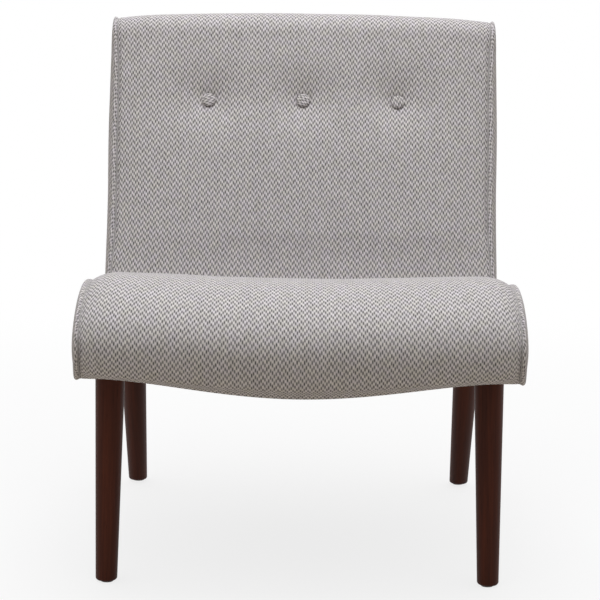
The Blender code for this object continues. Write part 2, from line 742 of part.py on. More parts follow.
class Leg:
    """Where one leg stands, how it leans and the hardware that holds it."""

    def __init__(self, name, side, front):
        self.name = name
        self.side = side
        self.front = front
        foot_back = FRONT_FOOT_BACK if front else REAR_FOOT_BACK
        top_back = FRONT_LEG_TOP_BACK if front else REAR_LEG_TOP_BACK
        splay = FRONT_LEG_SPLAY if front else 0.0
        top = on_underside(top_back, FIT_GAP)
        foot_x = side * LEG_TRACK / 2
        self.foot = world(foot_x, flat(foot_back, 0))
        self.top = world(foot_x - side * top.y * math.tan(splay), top)
        self.axis = (self.top - self.foot).normalized()
        self.length = (self.top - self.foot).length
        self.foot_radius = FRONT_FOOT_RADIUS if front else REAR_FOOT_RADIUS
        self.top_radius = FRONT_LEG_TOP_RADIUS if front else REAR_LEG_TOP_RADIUS
        self.turn = Vector((0, 0, 1)).rotation_difference(self.axis).to_euler()

    def radius_at(self, along):
        """Radius of the taper this far up the axis."""
        return self.foot_radius + (self.top_radius - self.foot_radius) * along / self.length

    def make(self):
        """The turned leg, cut level at the foot and to the underside at the top."""
        over = self.top_radius
        low = -over
        high = self.length + over

        def build(shape):
            place = self.turn.to_matrix().to_4x4()
            place.translation = self.axis * ((low + high) / 2)
            bmesh.ops.create_cone(
                shape, cap_ends=True, segments=LEG_SIDES, radius1=self.radius_at(low),
                radius2=self.radius_at(high), depth=high - low, matrix=place,
            )
            floor = Vector((0, 0, GLIDE_THICKNESS + FIT_GAP))
            trim(shape, floor, Vector((0, 0, -1)))
            foot_edges = [edge for edge in shape.edges
                          if all(abs(vert.co.z - floor.z) < FIT_GAP for vert in edge.verts)]
            bmesh.ops.bevel(shape, geom=foot_edges, offset=FOOT_ROUND, segments=2,
                            profile=0.5, affect="EDGES")
            square = left_of(under_heading)
            trim(shape, self.top - self.foot, Vector((0, square.x, square.y)))
        mesh = mesh_from(self.name, build)
        smooth(mesh)
        leg = add_object(self.name, mesh, "dark_wood", self.foot)
        depth = self.length - BOLT_IN_LEG - FIT_GAP
        bore = rod_mesh(f"{self.name}_bore", BOLT_DIAMETER / 2 + FIT_GAP, depth, high)
        cut(leg, add_cutter(f"{self.name}_bore", bore, self.foot, self.turn))
        self.make_hardware()

    def block_outline(self):
        """Side outline of the corner block, its top square to the leg's axis."""
        start = (front_rail_rear if self.front else rear_rail_rear) + FIT_GAP
        end = (self.top.y - WORLD_SHIFT) + BLOCK_BEYOND_LEG
        level = Vector((self.axis.z, -self.axis.y))
        top = self.block_top()
        top_point = flat(top.y - WORLD_SHIFT, top.z)
        up = heading(math.pi / 2)
        return [
            on_underside(start, SKIN), on_underside(end, SKIN),
            meet(top_point, level, flat(end, 0), up), meet(top_point, level, flat(start, 0), up),
        ]

    def block_top(self):
        """Where the leg's axis leaves the top of the corner block."""
        return self.top + self.axis * BLOCK_HEIGHT

    def make_hardware(self):
        """Corner block, hanger bolt, tee nut and glide of this leg."""
        place = self.name.replace("leg_", "")
        block_x = self.side * (BOARD_INNER - FIT_GAP - BLOCK_WIDTH / 2)
        block = profile_board(
            f"corner_block_{place}", self.block_outline(), BLOCK_WIDTH, block_x, "hardwood",
        )
        block = curve_as_mesh(block)
        nut_inner = BOLT_DIAMETER / 2 + FIT_GAP
        nut_outer = nut_inner + NUT_BARREL_WALL
        reach = BLOCK_HEIGHT + FOOT_ROUND + CUT_OVERRUN
        bore = rod_mesh(f"block_bore_{place}", nut_outer + FIT_GAP, -reach, reach)
        cut(block, add_cutter(f"block_bore_{place}", bore, self.block_top(), self.turn))

        bolt_top = self.length + BLOCK_HEIGHT + NUT_FLANGE_THICKNESS + BOLT_DIAMETER / 2
        bolt_bottom = self.length - BOLT_IN_LEG
        chamfer = BOLT_DIAMETER / 8
        radius = BOLT_DIAMETER / 2
        turned(
            f"hanger_bolt_{place}",
            [(0, bolt_top), (radius - chamfer, bolt_top), (radius, bolt_top - chamfer),
             (radius, bolt_bottom + chamfer), (radius - chamfer, bolt_bottom), (0, bolt_bottom)],
            "steel", self.foot, self.turn, 12,
        )
        seat = FIT_GAP
        flange = NUT_FLANGE_DIAMETER / 2
        nut = turned(
            f"tee_nut_{place}",
            [(flange, seat + NUT_FLANGE_THICKNESS), (flange, seat), (nut_outer, seat),
             (nut_outer, -NUT_BARREL_LENGTH), (nut_inner, -NUT_BARREL_LENGTH),
             (nut_inner, seat + NUT_FLANGE_THICKNESS),
             (flange, seat + NUT_FLANGE_THICKNESS)],
            "steel", self.block_top(), self.turn,
        )
        nut.modifiers.new("weld", "WELD").merge_threshold = ROW_NUDGE_SHARE * COVER_THICKNESS
        rim = GLIDE_THICKNESS / 4
        glide = GLIDE_DIAMETER / 2
        turned(
            f"glide_{place}",
            [(0, GLIDE_THICKNESS), (glide, GLIDE_THICKNESS), (glide, rim), (glide - rim, 0), (0, 0)],
            "nylon", self.foot, (0, 0, 0),
        )


def trim(shape, point, away):
    """Cut a closed mesh at a plane, drop the side that lies away, and close it."""
    every = shape.verts[:] + shape.edges[:] + shape.faces[:]
    result = bmesh.ops.bisect_plane(
        shape, geom=every, plane_co=point, plane_no=away, clear_outer=True,
    )
    rim = [item for item in result["geom_cut"] if isinstance(item, bmesh.types.BMEdge)]
    bmesh.ops.holes_fill(shape, edges=rim, sides=0)


def spring_path(length):
    """Points of one zigzag spring in its own plane: bars across, joined by half-circle bends."""
    pitch = length / SPRING_BENDS
    straight = SPRING_WIDTH / 2 - SPRING_WIRE / 2 - pitch / 2
    points = []
    for bar in range(SPRING_BENDS + 1):
        side = 1 if bar % 2 == 0 else -1
        points.append(Vector((-side * straight, bar * pitch, 0)))
        points.append(Vector((side * straight, bar * pitch, 0)))
        if bar < SPRING_BENDS:
            for quarter in (1, 2, 3):
                angle = -math.pi / 2 + quarter * math.pi / 4
                points.append(Vector((
                    side * (straight + math.cos(angle) * pitch / 2),
                    (bar + 0.5) * pitch + math.sin(angle) * pitch / 2,
                    0,
                )))
    return points


def wire_through(name, points, diameter, finish, location, rotation):
    """A wire of round section through the points."""
    curve = bpy.data.curves.new(name, "CURVE")
    curve.dimensions = "3D"
    curve.bevel_depth = diameter / 2
    curve.bevel_resolution = 1
    curve.use_fill_caps = True
    spline = curve.splines.new("POLY")
    spline.points.add(len(points) - 1)
    for target, point in zip(spline.points, points):
        target.co = (*point, 1)
    return add_object(name, curve, finish, location, rotation)


def clip_outline(centre, inward):
    """Section of a clip that wraps the end bar of a spring, closed towards the seat's middle."""
    outer = clip_ring + CLIP_SHEET
    steps = [index * math.pi / 4 - math.pi / 2 for index in range(5)]
    path = [(-clip_tail, -outer)]
    path += [(math.cos(angle) * outer, math.sin(angle) * outer) for angle in steps]
    path += [(-CLIP_TOP_TAIL, outer), (-CLIP_TOP_TAIL, clip_ring)]
    inner_ring = clip_ring / math.cos(math.pi / 8)
    path += [(math.cos(angle) * inner_ring if abs(angle) < math.pi / 2 - FIT_GAP else 0.0,
              math.sin(angle) * (inner_ring if abs(angle) < math.pi / 2 - FIT_GAP else clip_ring))
             for angle in reversed(steps)]
    path.append((-clip_tail, -clip_ring))
    normal = left_of(seat_heading)
    return [centre + seat_heading * (along * inward) + normal * out for along, out in path]


def make_springs():
    """Zigzag springs between the seat rails, with their clips and the felt over them."""
    front_bar = on_seat((front_rail_front + front_rail_rear) / 2, wire_drop)
    rear_bar = on_seat((rear_rail_front + rear_rail_rear) / 2, wire_drop)
    path = spring_path((rear_bar - front_bar).length)
    first = -(SPRING_COUNT - 1) / 2
    places = [(first + index) * SPRING_SPACING for index in range(SPRING_COUNT)]
    for index, place in enumerate(places):
        wire_through(
            f"seat_spring_{index + 1}", path, SPRING_WIRE, "steel", world(place, front_bar),
            (-SEAT_PITCH, 0, 0),
        )
        profile_board(
            f"clip_front_{index + 1}", clip_outline(front_bar, 1), CLIP_WIDTH, place, "steel",
        )
        profile_board(
            f"clip_rear_{index + 1}", clip_outline(rear_bar, -1), CLIP_WIDTH, place, "steel",
        )
    felt_end = foam_corner.x - BOARD_CORNER / 2
    felt = [
        on_seat(front_rail_front, felt_drop), on_seat(felt_end, felt_drop),
        on_seat(felt_end, FIT_GAP), on_seat(front_rail_front, FIT_GAP),
    ]
    profile_board("spring_felt", felt, 2 * BOARD_OUTER, 0, "felt")


def make_webbing():
    """Straps across the open part of the back, lapped on the side boards."""
    inset = BACK_FOAM + FIT_GAP + STRAP_THICKNESS / 2
    for index, share in enumerate(STRAP_PLACE_SHARES):
        plank(
            f"back_strap_{index + 1}", behind_back(back_length * share, inset),
            2 * (BOARD_OUTER - STRAP_END), STRAP_THICKNESS, STRAP_WIDTH, "webbing",
        )


def make_padding(seat, back):
    """Seat foam and back foam."""
    def under_seat(x):
        drop = flat(0, EDGE_BOW * middle(x))
        lowest = on_underside(front_rail_front - FIT_GAP, SKIN + HEM_CORNER / 2) - drop
        return [
            foam_corner - seat_heading * LAYER_GAP, on_seat(front_rail_front - FIT_GAP, 0), lowest,
        ]

    def behind_seat(x):
        top = top_board + left_of(top_heading) * FIT_GAP
        return [
            meet(rear_board, rear_heading, top, top_heading),
            meet(back_base, back_heading, top, top_heading),
            foam_corner + back_heading * LAYER_GAP,
        ]
    seat_foam = foam_block("seat_foam", seat[4:], seat_stations(), under_seat)
    back_foam = foam_block("back_foam", back[:-2], back_stations(), behind_seat)
    return seat_foam, back_foam


def outside_points():
    """Outline from the front of the roll down, along the underside and up the rear."""
    seat = [row.point for row in seat_rows()]
    front = min(range(len(seat)), key=lambda index: seat[index].x)
    low = list(reversed(seat[1:front + 1]))
    under_round = fillet(roll_edge, rear_foot_corner, back_top_rear, REAR_FOOT_CORNER_RADIUS, 4)
    rear_round = fillet(back_top_front, back_top_rear, rear_foot_corner, BACK_REAR_CORNER, 3)
    return low + under_round + list(reversed(rear_round[1:]))


def inside_points():
    """Outline from the front of the roll over the seat, up the back and over the top."""
    seat = [row.point for row in seat_rows()]
    front = min(range(len(seat)), key=lambda index: seat[index].x)
    back = [row.point for row in back_rows()]
    behind_tip = 3
    return seat[front:] + back[:-behind_tip]


def along_path(points, count):
    """Evenly spaced points along a path, both ends kept."""
    lengths = [0.0]
    for before, after in zip(points, points[1:]):
        lengths.append(lengths[-1] + (after - before).length)
    result = []
    index = 0
    for step in range(count):
        target = lengths[-1] * step / (count - 1)
        while index < len(points) - 2 and lengths[index + 1] < target:
            index += 1
        share = (target - lengths[index]) / (lengths[index + 1] - lengths[index])
        result.append(points[index].lerp(points[index + 1], min(1.0, share)))
    return result


def edge_distance(point, outline):
    """Shortest distance from a point to a closed outline."""
    nearest = math.inf
    for start, end in zip(outline, outline[1:] + outline[:1]):
        foot, share = geometry.intersect_point_line(point, start, end)
        share = min(1.0, max(0.0, share))
        nearest = min(nearest, (point - start.lerp(end, share)).length)
    return nearest


def side_grid(shape, sign):
    """Open, swollen face of a side panel, as lines across the S-shaped band."""
    inside = along_path(inside_points(), SIDE_STATIONS)
    outside = along_path(outside_points(), SIDE_STATIONS)
    outline = inside + list(reversed(outside[1:-1]))
    base = SEAM_HALF + SKIN
    puff = BODY_WIDTH / 2 - base
    grid = []
    for index, (top, bottom) in enumerate(zip(inside, outside)):
        width = (bottom - top).length
        if width < FIT_GAP:
            grid.append([shape.verts.new(world(sign * base, top))])
            continue
        shares = [min(inset / width, 0.5 * step / len(SIDE_INSETS))
                  for step, inset in enumerate(SIDE_INSETS)]
        shares = shares + [0.5] + [1 - share for share in reversed(shares)]
        line = []
        for share in shares:
            point = top.lerp(bottom, share)
            distance = 0.0 if share in (0.0, 1.0) else edge_distance(point, outline)
            rise = min(1.0, distance / SIDE_ROLL)
            x = base + puff * math.sqrt(1 - (1 - rise) ** 2)
            line.append(shape.verts.new(world(sign * x, point)))
        grid.append(line)
    for before, after in zip(grid, grid[1:]):
        if len(before) == 1:
            before = before * len(after)
        if len(after) == 1:
            after = after * len(before)
        for index in range(len(before) - 1):
            corners = []
            for vert in (before[index], after[index], after[index + 1], before[index + 1]):
                if vert not in corners:
                    corners.append(vert)
            if sign > 0:
                corners.reverse()
            shape.faces.new(corners)
    shape.normal_update()
    return grid


def make_sides():
    """Side covers with the padding behind them."""
    for side, sign in (("left", -1), ("right", 1)):
        mesh = mesh_from(f"side_cover_{side}", lambda shape: side_grid(shape, sign))
        smooth(mesh)
        cover = add_object(f"side_cover_{side}", mesh, "weave")
        wall = cover.modifiers.new("cloth", "SOLIDIFY")
        wall.thickness = COVER_THICKNESS
        wall.offset = -1

        def build(shape):
            sheet = bmesh.new()
            grid = side_grid(sheet, sign)
            lines = [line[1:-1] for line in grid if len(line) > 1][1:-1]
            inner = [[vert.co - vert.normal * SKIN for vert in line] for line in lines]
            sheet.free()
            front = [[shape.verts.new(place) for place in line] for line in inner]
            for before, after in zip(front, front[1:]):
                for index in range(len(before) - 1):
                    shape.faces.new(
                        (before[index], after[index], after[index + 1], before[index + 1])
                    )
            rim = [line[0] for line in front] + front[-1][1:-1]
            rim += [line[-1] for line in reversed(front)] + list(reversed(front[0][1:-1]))
            flat_x = sign * (SEAM_HALF + FIT_GAP)
            back = [shape.verts.new((flat_x, vert.co.y, vert.co.z)) for vert in rim]
            for index in range(len(rim)):
                nearby = (index + 1) % len(rim)
                shape.faces.new((rim[index], rim[nearby], back[nearby], back[index]))
            shape.faces.new(back)
            bmesh.ops.recalc_face_normals(shape, faces=shape.faces)
        pad = mesh_from(f"side_pad_{side}", build)
        smooth(pad)
        add_object(f"side_pad_{side}", pad, "foam")


def make_rear_covers(legs):
    """Outside-back cover, and the dust cover under the seat."""
    rear_round = fillet(back_top_front, back_top_rear, rear_foot_corner, BACK_REAR_CORNER, 3)
    under_round = fillet(roll_edge, rear_foot_corner, back_top_rear, REAR_FOOT_CORNER_RADIUS, 4)
    top = rear_round[-1] - rear_heading * (BACK_REAR_CORNER + LAYER_GAP)
    outer = [top] + list(reversed(under_round))
    inner_round = fillet(
        under_board, meet(rear_board, rear_heading, under_board, under_heading),
        rear_board + rear_heading, REAR_FOOT_CORNER_RADIUS - SKIN, 4,
    )
    thickness = left_of(rear_heading) * COVER_THICKNESS
    share = COVER_THICKNESS / SKIN
    inner = [out.lerp(board, share) for out, board in zip(under_round, inner_round)]
    inner.append(top + thickness)
    profile_board("outside_back_cover", outer + inner, 2 * (SEAM_HALF - LAYER_GAP), 0, "weave")

    sheet_bottom = SKIN - FIT_GAP - DUST_COVER_THICKNESS
    start = front_rail_rear + LAYER_GAP
    end = under_round[0].x - LAYER_GAP
    sheet = profile_board("dust_cover", [
        on_underside(start, sheet_bottom), on_underside(end, sheet_bottom),
        on_underside(end, SKIN - FIT_GAP), on_underside(start, SKIN - FIT_GAP),
    ], 2 * (SEAM_HALF - LAYER_GAP), 0, "lining")
    sheet = curve_as_mesh(sheet)
    for leg in legs:
        name = leg.name.replace("leg_", "dust_hole_")
        bore = rod_mesh(name, BOLT_DIAMETER / 2 + 2 * FIT_GAP, -BOLT_IN_LEG, BOLT_IN_LEG)
        cut(sheet, add_cutter(name, bore, leg.top, leg.turn))


def make_buttons(pieces):
    """Covered buttons, the ties that draw them in and the anchors behind the rail."""
    row = Row(behind_back(BUTTON_UP_BACK, 0), BACK_CROWN, 0.0, 0.0,
              BACK_ARCH * (BUTTON_UP_BACK / back_length) ** 2)
    row.facing = left_of(back_heading)
    turn = (math.pi / 2 - BACK_RECLINE, 0, 0)
    normal = left_of(back_heading)
    rail_rear = back_board_inset + RAIL_THICKNESS
    for index, place in enumerate(button_places()):
        skin = skin_point(row, place)
        facing = Vector((0, normal.x, normal.y))
        seat = skin + facing * BUTTON_LIFT
        surface = world(place, row.point)
        proud = (skin - surface).dot(facing)
        radius = BUTTON_DIAMETER / 2
        arc = [(radius * math.sin(step * math.pi / 8),
                BUTTON_RIM + (BUTTON_DOME - BUTTON_RIM) * math.cos(step * math.pi / 8))
               for step in range(5)]
        turned(
            f"button_{index + 1}", arc + [(radius, BUTTON_RIM / 2), (radius - BUTTON_RIM / 2, 0), (0, 0)],
            "weave", seat, turn, 20,
        )
        tie_top = proud + BUTTON_LIFT - FIT_GAP
        tie_bottom = -rail_rear
        anchor = ANCHOR_DIAMETER / 2
        anchor_top = tie_bottom - FIT_GAP
        tie = TIE_DIAMETER / 2
        turned(
            f"button_tie_{index + 1}",
            [(0, tie_top), (tie, tie_top), (tie, anchor_top), (anchor, anchor_top),
             (anchor, anchor_top - ANCHOR_THICKNESS), (0, anchor_top - ANCHOR_THICKNESS)],
            "nylon", surface, turn, 12,
        )
        bore = rod_mesh(
            f"tie_bore_{index + 1}", TIE_DIAMETER / 2 + TIE_GAP, tie_bottom - CUT_OVERRUN,
            tie_top + CUT_OVERRUN, 12,
        )
        cutter = add_cutter(f"tie_bore_{index + 1}", bore, surface, turn)
        for piece in pieces:
            cut(piece, cutter)


def clear_scene():
    """Remove what the file opened with."""
    for thing in list(bpy.data.objects):
        bpy.data.objects.remove(thing)


def main():
    """Build the chair."""
    global chair, cutter_group
    clear_scene()
    chair = bpy.data.collections.new("lounge_chair")
    cutter_group = bpy.data.collections.new("cutters")
    bpy.context.scene.collection.children.link(chair)
    bpy.context.scene.collection.children.link(cutter_group)

    seat = seat_rows()
    back = back_rows()
    button_rail = make_frame()
    legs = [
        Leg("leg_front_left", -1, True), Leg("leg_front_right", 1, True),
        Leg("leg_rear_left", -1, False), Leg("leg_rear_right", 1, False),
    ]
    for leg in legs:
        leg.make()
    make_springs()
    make_webbing()
    back_foam = make_padding(seat, back)[1]
    sewn_cover("seat_cover", seat, seat_stations())
    back_cover = sewn_cover("back_cover", back, back_stations())
    make_sides()
    make_rear_covers(legs)
    make_buttons([back_cover, back_foam, button_rail])


main()
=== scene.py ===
"""Studio picture of an armless lounge chair: woven cover, tufted back and turned legs.

Metres, +Z up.  The sitter faces -Y.  Side outlines are (depth, height) pairs, where depth is
measured back from the front of the seat roll at the side seams.  A pair that ends in _rise
says where a smooth change starts and how far it takes.
"""
import json
import logging
import math
from dataclasses import dataclass, field
from enum import Enum

import bpy
import numpy as np
from mathutils import Matrix, Vector, geometry, noise


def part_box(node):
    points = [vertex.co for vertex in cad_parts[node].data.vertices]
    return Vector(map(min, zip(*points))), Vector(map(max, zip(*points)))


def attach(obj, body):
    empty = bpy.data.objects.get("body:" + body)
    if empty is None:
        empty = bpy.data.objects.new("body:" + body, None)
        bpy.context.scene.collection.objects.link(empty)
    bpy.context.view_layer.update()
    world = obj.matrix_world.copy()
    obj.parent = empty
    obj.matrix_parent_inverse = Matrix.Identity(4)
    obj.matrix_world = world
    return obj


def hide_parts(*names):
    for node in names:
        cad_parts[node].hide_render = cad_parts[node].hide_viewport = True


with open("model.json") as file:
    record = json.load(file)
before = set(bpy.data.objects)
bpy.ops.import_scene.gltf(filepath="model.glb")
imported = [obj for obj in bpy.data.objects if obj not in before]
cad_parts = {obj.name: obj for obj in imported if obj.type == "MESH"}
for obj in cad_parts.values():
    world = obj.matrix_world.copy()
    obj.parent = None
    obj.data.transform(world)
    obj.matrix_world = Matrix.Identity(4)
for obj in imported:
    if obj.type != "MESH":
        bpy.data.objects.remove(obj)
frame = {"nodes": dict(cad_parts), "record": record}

log = logging.getLogger("chair")
BODY = "root"
CLOTH_UV = "cloth"
LEG_PLACE = "leg_place"
WHITE = (1.0, 1.0, 1.0)
# Angles in degrees past which an edge is shaded sharp.
SOFT_EDGE, SHEET_EDGE, LEG_EDGE = 60, 50, 35
Pair = tuple[float, float]
Colour = tuple[float, float, float]


class Slot(Enum):
    """Material slots of the record that the pieces take."""

    WEAVE = "woven_fabric"
    LEG_WOOD = "dark_wood"
    PLY = "plywood"
    FRAME_WOOD = "frame_wood"
    FOAM = "foam"
    FELT = "felt"
    STEEL = "spring_steel"
    WEBBING = "webbing"
    LINING = "black_lining"
    NYLON = "nylon"


class Side(Enum):
    """The two sides of the chair, as seen from the front."""

    LEFT = -1
    RIGHT = 1

    @property
    def word(self) -> str:
        """Lower-case name of the side."""
        return self.name.lower()


class Draft:
    """Drawing tools for the side outline and for smooth changes."""

    @staticmethod
    def heading(angle: float) -> Vector:
        """Unit vector at an angle above straight back."""
        return Vector((math.cos(angle), math.sin(angle)))

    @staticmethod
    def left(direction: Vector) -> Vector:
        """The direction turned a quarter turn to its left."""
        return Vector((-direction.y, direction.x))

    @staticmethod
    def ramp(value: np.ndarray, start: float = 0.0, span: float = 1.0) -> np.ndarray:
        """Smooth rise from 0 at the start to 1 after the span."""
        share = np.clip((value - start) / span, 0, 1)
        return share * share * (3 - 2 * share)

    @staticmethod
    def dome(x: np.ndarray, half: float) -> np.ndarray:
        """Smooth swell across the chair, 1 in the middle and 0 from this half width on."""
        return np.cos(np.minimum(1.0, np.abs(x) / half) * math.pi / 2) ** 1.5

    @staticmethod
    def meet(point: Vector, along: Vector, other: Vector, other_along: Vector) -> Vector:
        """Find where two lines cross.

        Args:
            point: A point of the first line.
            along: Heading of the first line.
            other: A point of the second line.
            other_along: Heading of the second line.

        Returns:
            The crossing point.
        """
        cross = along.x * other_along.y - along.y * other_along.x
        gap = other - point
        return point + along * ((gap.x * other_along.y - gap.y * other_along.x) / cross)

    @staticmethod
    def bend(
        start: Vector, leave: Vector, end: Vector, arrive: Vector, steps: int, pull: float = 0.38
    ) -> list[Vector]:
        """Draw a smooth stretch between two headings.

        Args:
            start: First point.
            leave: Heading at the first point.
            end: Last point.
            arrive: Heading at the last point.
            steps: Number of steps.
            pull: Share of the chord that the handles reach.

        Returns:
            The points, both ends included.
        """
        reach = (end - start).length * pull
        points = geometry.interpolate_bezier(
            start, start + leave * reach, end - arrive * reach, end, steps + 1
        )
        return [Vector(point) for point in points]

    @staticmethod
    def corner(
        before: Vector, corner: Vector, after: Vector, radius: float, steps: int
    ) -> list[Vector]:
        """Round the corner between two straight stretches.

        Args:
            before: A point on the stretch that arrives.
            corner: The sharp corner.
            after: A point on the stretch that leaves.
            radius: Radius of the round.
            steps: Number of steps round it.

        Returns:
            The points of the round, both ends included.
        """
        towards = (before - corner).normalized()
        away = (after - corner).normalized()
        half = towards.angle(away) / 2
        centre = corner + (towards + away).normalized() * (radius / math.sin(half))
        start = corner + towards * (radius / math.tan(half)) - centre
        end = corner + away * (radius / math.tan(half)) - centre
        turn = start.angle_signed(end)
        return [centre + Matrix.Rotation(-turn * step / steps, 2) @ start
                for step in range(steps + 1)]

    @staticmethod
    def reach(path: np.ndarray) -> np.ndarray:
        """Distance along a path at each of its points."""
        steps = np.linalg.norm(np.diff(path, axis=0), axis=1)
        return np.concatenate(([0.0], np.cumsum(steps)))

    @staticmethod
    def pick(path: np.ndarray, run: np.ndarray, wanted: np.ndarray) -> np.ndarray:
        """Read a path at other distances.

        Args:
            path: The points.
            run: Distance of each point, rising.
            wanted: The distances wanted.

        Returns:
            One point for each of them.
        """
        return np.stack([np.interp(wanted, run, column) for column in path.T], axis=1)

    @staticmethod
    def even(points: list[Vector], count: int) -> np.ndarray:
        """Space points evenly along a path.

        Args:
            points: Points of the path.
            count: How many points to place.

        Returns:
            Rows of (depth, height).
        """
        path = np.array([tuple(point) for point in points])
        path = path[np.concatenate(([True], np.diff(Draft.reach(path)) > 1e-7))]
        run = Draft.reach(path)
        return Draft.pick(path, run, np.linspace(0.0, run[-1], count))


@dataclass(frozen=True)
class SideOutline:
    """Side view of the upholstery, and how far out its sides and seams stand."""

    half_width: float = 0.3203
    side_puff: float = 0.0145
    back_flare: float = 0.009
    flare_rise: Pair = (0.46, 0.18)
    top_draw: float = 0.008
    draw_rise: Pair = (0.75, 0.04)
    nose_spread: float = 0.0152
    nose_rise: Pair = (0.38, 0.10)
    waist: float = 0.009
    waist_rise: Pair = (0.46, 0.22)
    top_spread: float = 0.016
    spread_rise: Pair = (0.68, 0.13)
    flat_seam: float = 0.65
    flat_top_rise: Pair = (0.745, 0.035)
    flat_seat_rise: Pair = (0.35, 0.04)
    flat_end_rise: Pair = (0.43, 0.05)
    skin: float = 0.0019
    shift: float = -0.35727
    roll_front_height: float = 0.364
    roll_edge: Pair = (0.027, 0.3185)
    roll_edge_angle: float = math.radians(50)
    crest: Pair = (0.118, 0.441)
    crease_place: Pair = (0.4793, 0.370)
    crease_radius: float = 0.018
    seat_pitch: float = math.radians(11)
    front_pull: float = 0.32
    seat_pull: float = 0.2
    underside_pitch: float = math.radians(3.4)
    hem_back: float = 0.0588
    hem_corner: float = 0.0038
    recline: float = math.radians(23)
    top_height: float = 0.804
    top_thickness: float = 0.062
    top_fall: float = 0.010
    top_roll: float = 0.036
    rear_corner: float = 0.010
    rear_gap: float = 0.0006
    foot_corner_back: float = 0.607
    foot_corner_radius: float = 0.022
    hem_steps: int = 8
    front_steps: int = 24
    roll_steps: int = 40
    crease_steps: int = 12
    top_steps: int = 16
    rear_steps: int = 10
    foot_steps: int = 14
    rear_joint: int = 4

    @property
    def seam_half(self) -> float:
        """Distance of the side seams from the middle."""
        return self.half_width - self.side_puff

    @property
    def crease(self) -> Vector:
        """Point where the seat and the back meet."""
        return Vector(self.crease_place)

    @property
    def edge(self) -> Vector:
        """Sharp corner at the foot of the front roll."""
        return Vector(self.roll_edge)

    @property
    def up_back(self) -> Vector:
        """Heading up the back."""
        return Draft.heading(math.pi / 2 - self.recline)

    @property
    def along_seat(self) -> Vector:
        """Heading back along the seat."""
        return Draft.heading(-self.seat_pitch)

    @property
    def under(self) -> Vector:
        """Heading back along the underside."""
        return Draft.heading(-self.underside_pitch)

    @property
    def top_front(self) -> Vector:
        """Sharp corner at the front of the back's top."""
        level = Vector((self.crease.x, self.top_height))
        return Draft.meet(self.crease, self.up_back, level, Draft.heading(0))

    @property
    def top_rear(self) -> Vector:
        """Sharp corner at the rear of the back's top."""
        fall = Draft.heading(-math.atan2(self.top_fall, self.top_thickness))
        return self.top_front + fall * (self.top_thickness / math.cos(self.recline))

    @property
    def foot_corner(self) -> Vector:
        """Sharp corner at the bottom of the rear."""
        return self.edge + self.under * ((self.foot_corner_back - self.edge.x) / self.under.x)

    @property
    def back_length(self) -> float:
        """Length of the back's face from the crease to its top corner."""
        return (self.top_front - self.crease).length

    def flaring(self, height: np.ndarray) -> np.ndarray:
        """Factor by which the swollen sides stand further out up the back."""
        flare = self.back_flare * Draft.ramp(height, *self.flare_rise)
        return 1 + flare - self.top_draw * Draft.ramp(height, *self.draw_rise)

    def widening(self, height: np.ndarray) -> np.ndarray:
        """Factor by which the seams lie further out at the seat and at the back's top.

        Args:
            height: Heights to look at.

        Returns:
            The factor at each height.
        """
        seat = 1 - Draft.ramp(height, *self.nose_rise)
        waist = 1 - Draft.ramp(height, *self.waist_rise)
        top = Draft.ramp(height, *self.spread_rise)
        return 1 + self.nose_spread * seat - self.waist * waist + self.top_spread * top

    def seam_depth(self, height: np.ndarray) -> np.ndarray:
        """Share of the seam's depth, which is less over the seat and at the back's top.

        Args:
            height: Heights to look at.

        Returns:
            The share at each height.
        """
        seat = Draft.ramp(height, *self.flat_seat_rise) * (
            1 - Draft.ramp(height, *self.flat_end_rise))
        return 1 - self.flat_seam * (Draft.ramp(height, *self.flat_top_rise) + seat)

    def place(
        self, path: np.ndarray, x: np.ndarray, swell: np.ndarray, drop: "np.ndarray | float" = 0.0
    ) -> np.ndarray:
        """Place a cover's points in space.

        Args:
            path: Rows by (depth, height).
            x: Places across.
            swell: Rows by columns, height over the path.
            drop: Rows by columns, sinking straight down.

        Returns:
            Rows by columns by 3.
        """
        along = np.gradient(path, axis=0)
        along /= np.linalg.norm(along, axis=1, keepdims=True)
        depth = path[:, :1] - along[:, 1:] * swell + self.shift
        height = path[:, 1:] + along[:, :1] * swell - drop
        return np.stack((x * self.widening(height), depth, height), axis=2)

    def crease_round(self) -> list[Vector]:
        """Points of the rounded crease, from the seat to the back.

        Returns:
            The points, in (depth, height).
        """
        before = self.crease - self.along_seat
        return Draft.corner(
            before, self.crease, self.crease + self.up_back, self.crease_radius,
            self.crease_steps)

    def top_round(self) -> list[Vector]:
        """Points of the roll at the front of the back's top, front to rear."""
        return Draft.corner(
            self.crease, self.top_front, self.top_rear, self.top_roll, self.top_steps)

    def rear_round(self) -> list[Vector]:
        """Points of the corner at the rear of the back's top, going down.

        Returns:
            The points, in (depth, height).
        """
        return Draft.corner(
            self.top_front, self.top_rear, self.foot_corner, self.rear_corner,
            self.rear_steps)

    def foot_round(self) -> list[Vector]:
        """Points of the corner at the bottom of the rear, going down.

        Returns:
            The points, in (depth, height).
        """
        return Draft.corner(
            self.top_rear, self.foot_corner, self.edge, self.foot_corner_radius,
            self.foot_steps)

    def down_rear(self, gap: float = 0.0) -> Vector:
        """Point on the straight rear, a corner's radius and a gap below the rear corner."""
        up = (self.top_rear - self.foot_corner).normalized()
        return self.rear_round()[-1] - up * (self.rear_corner + gap)

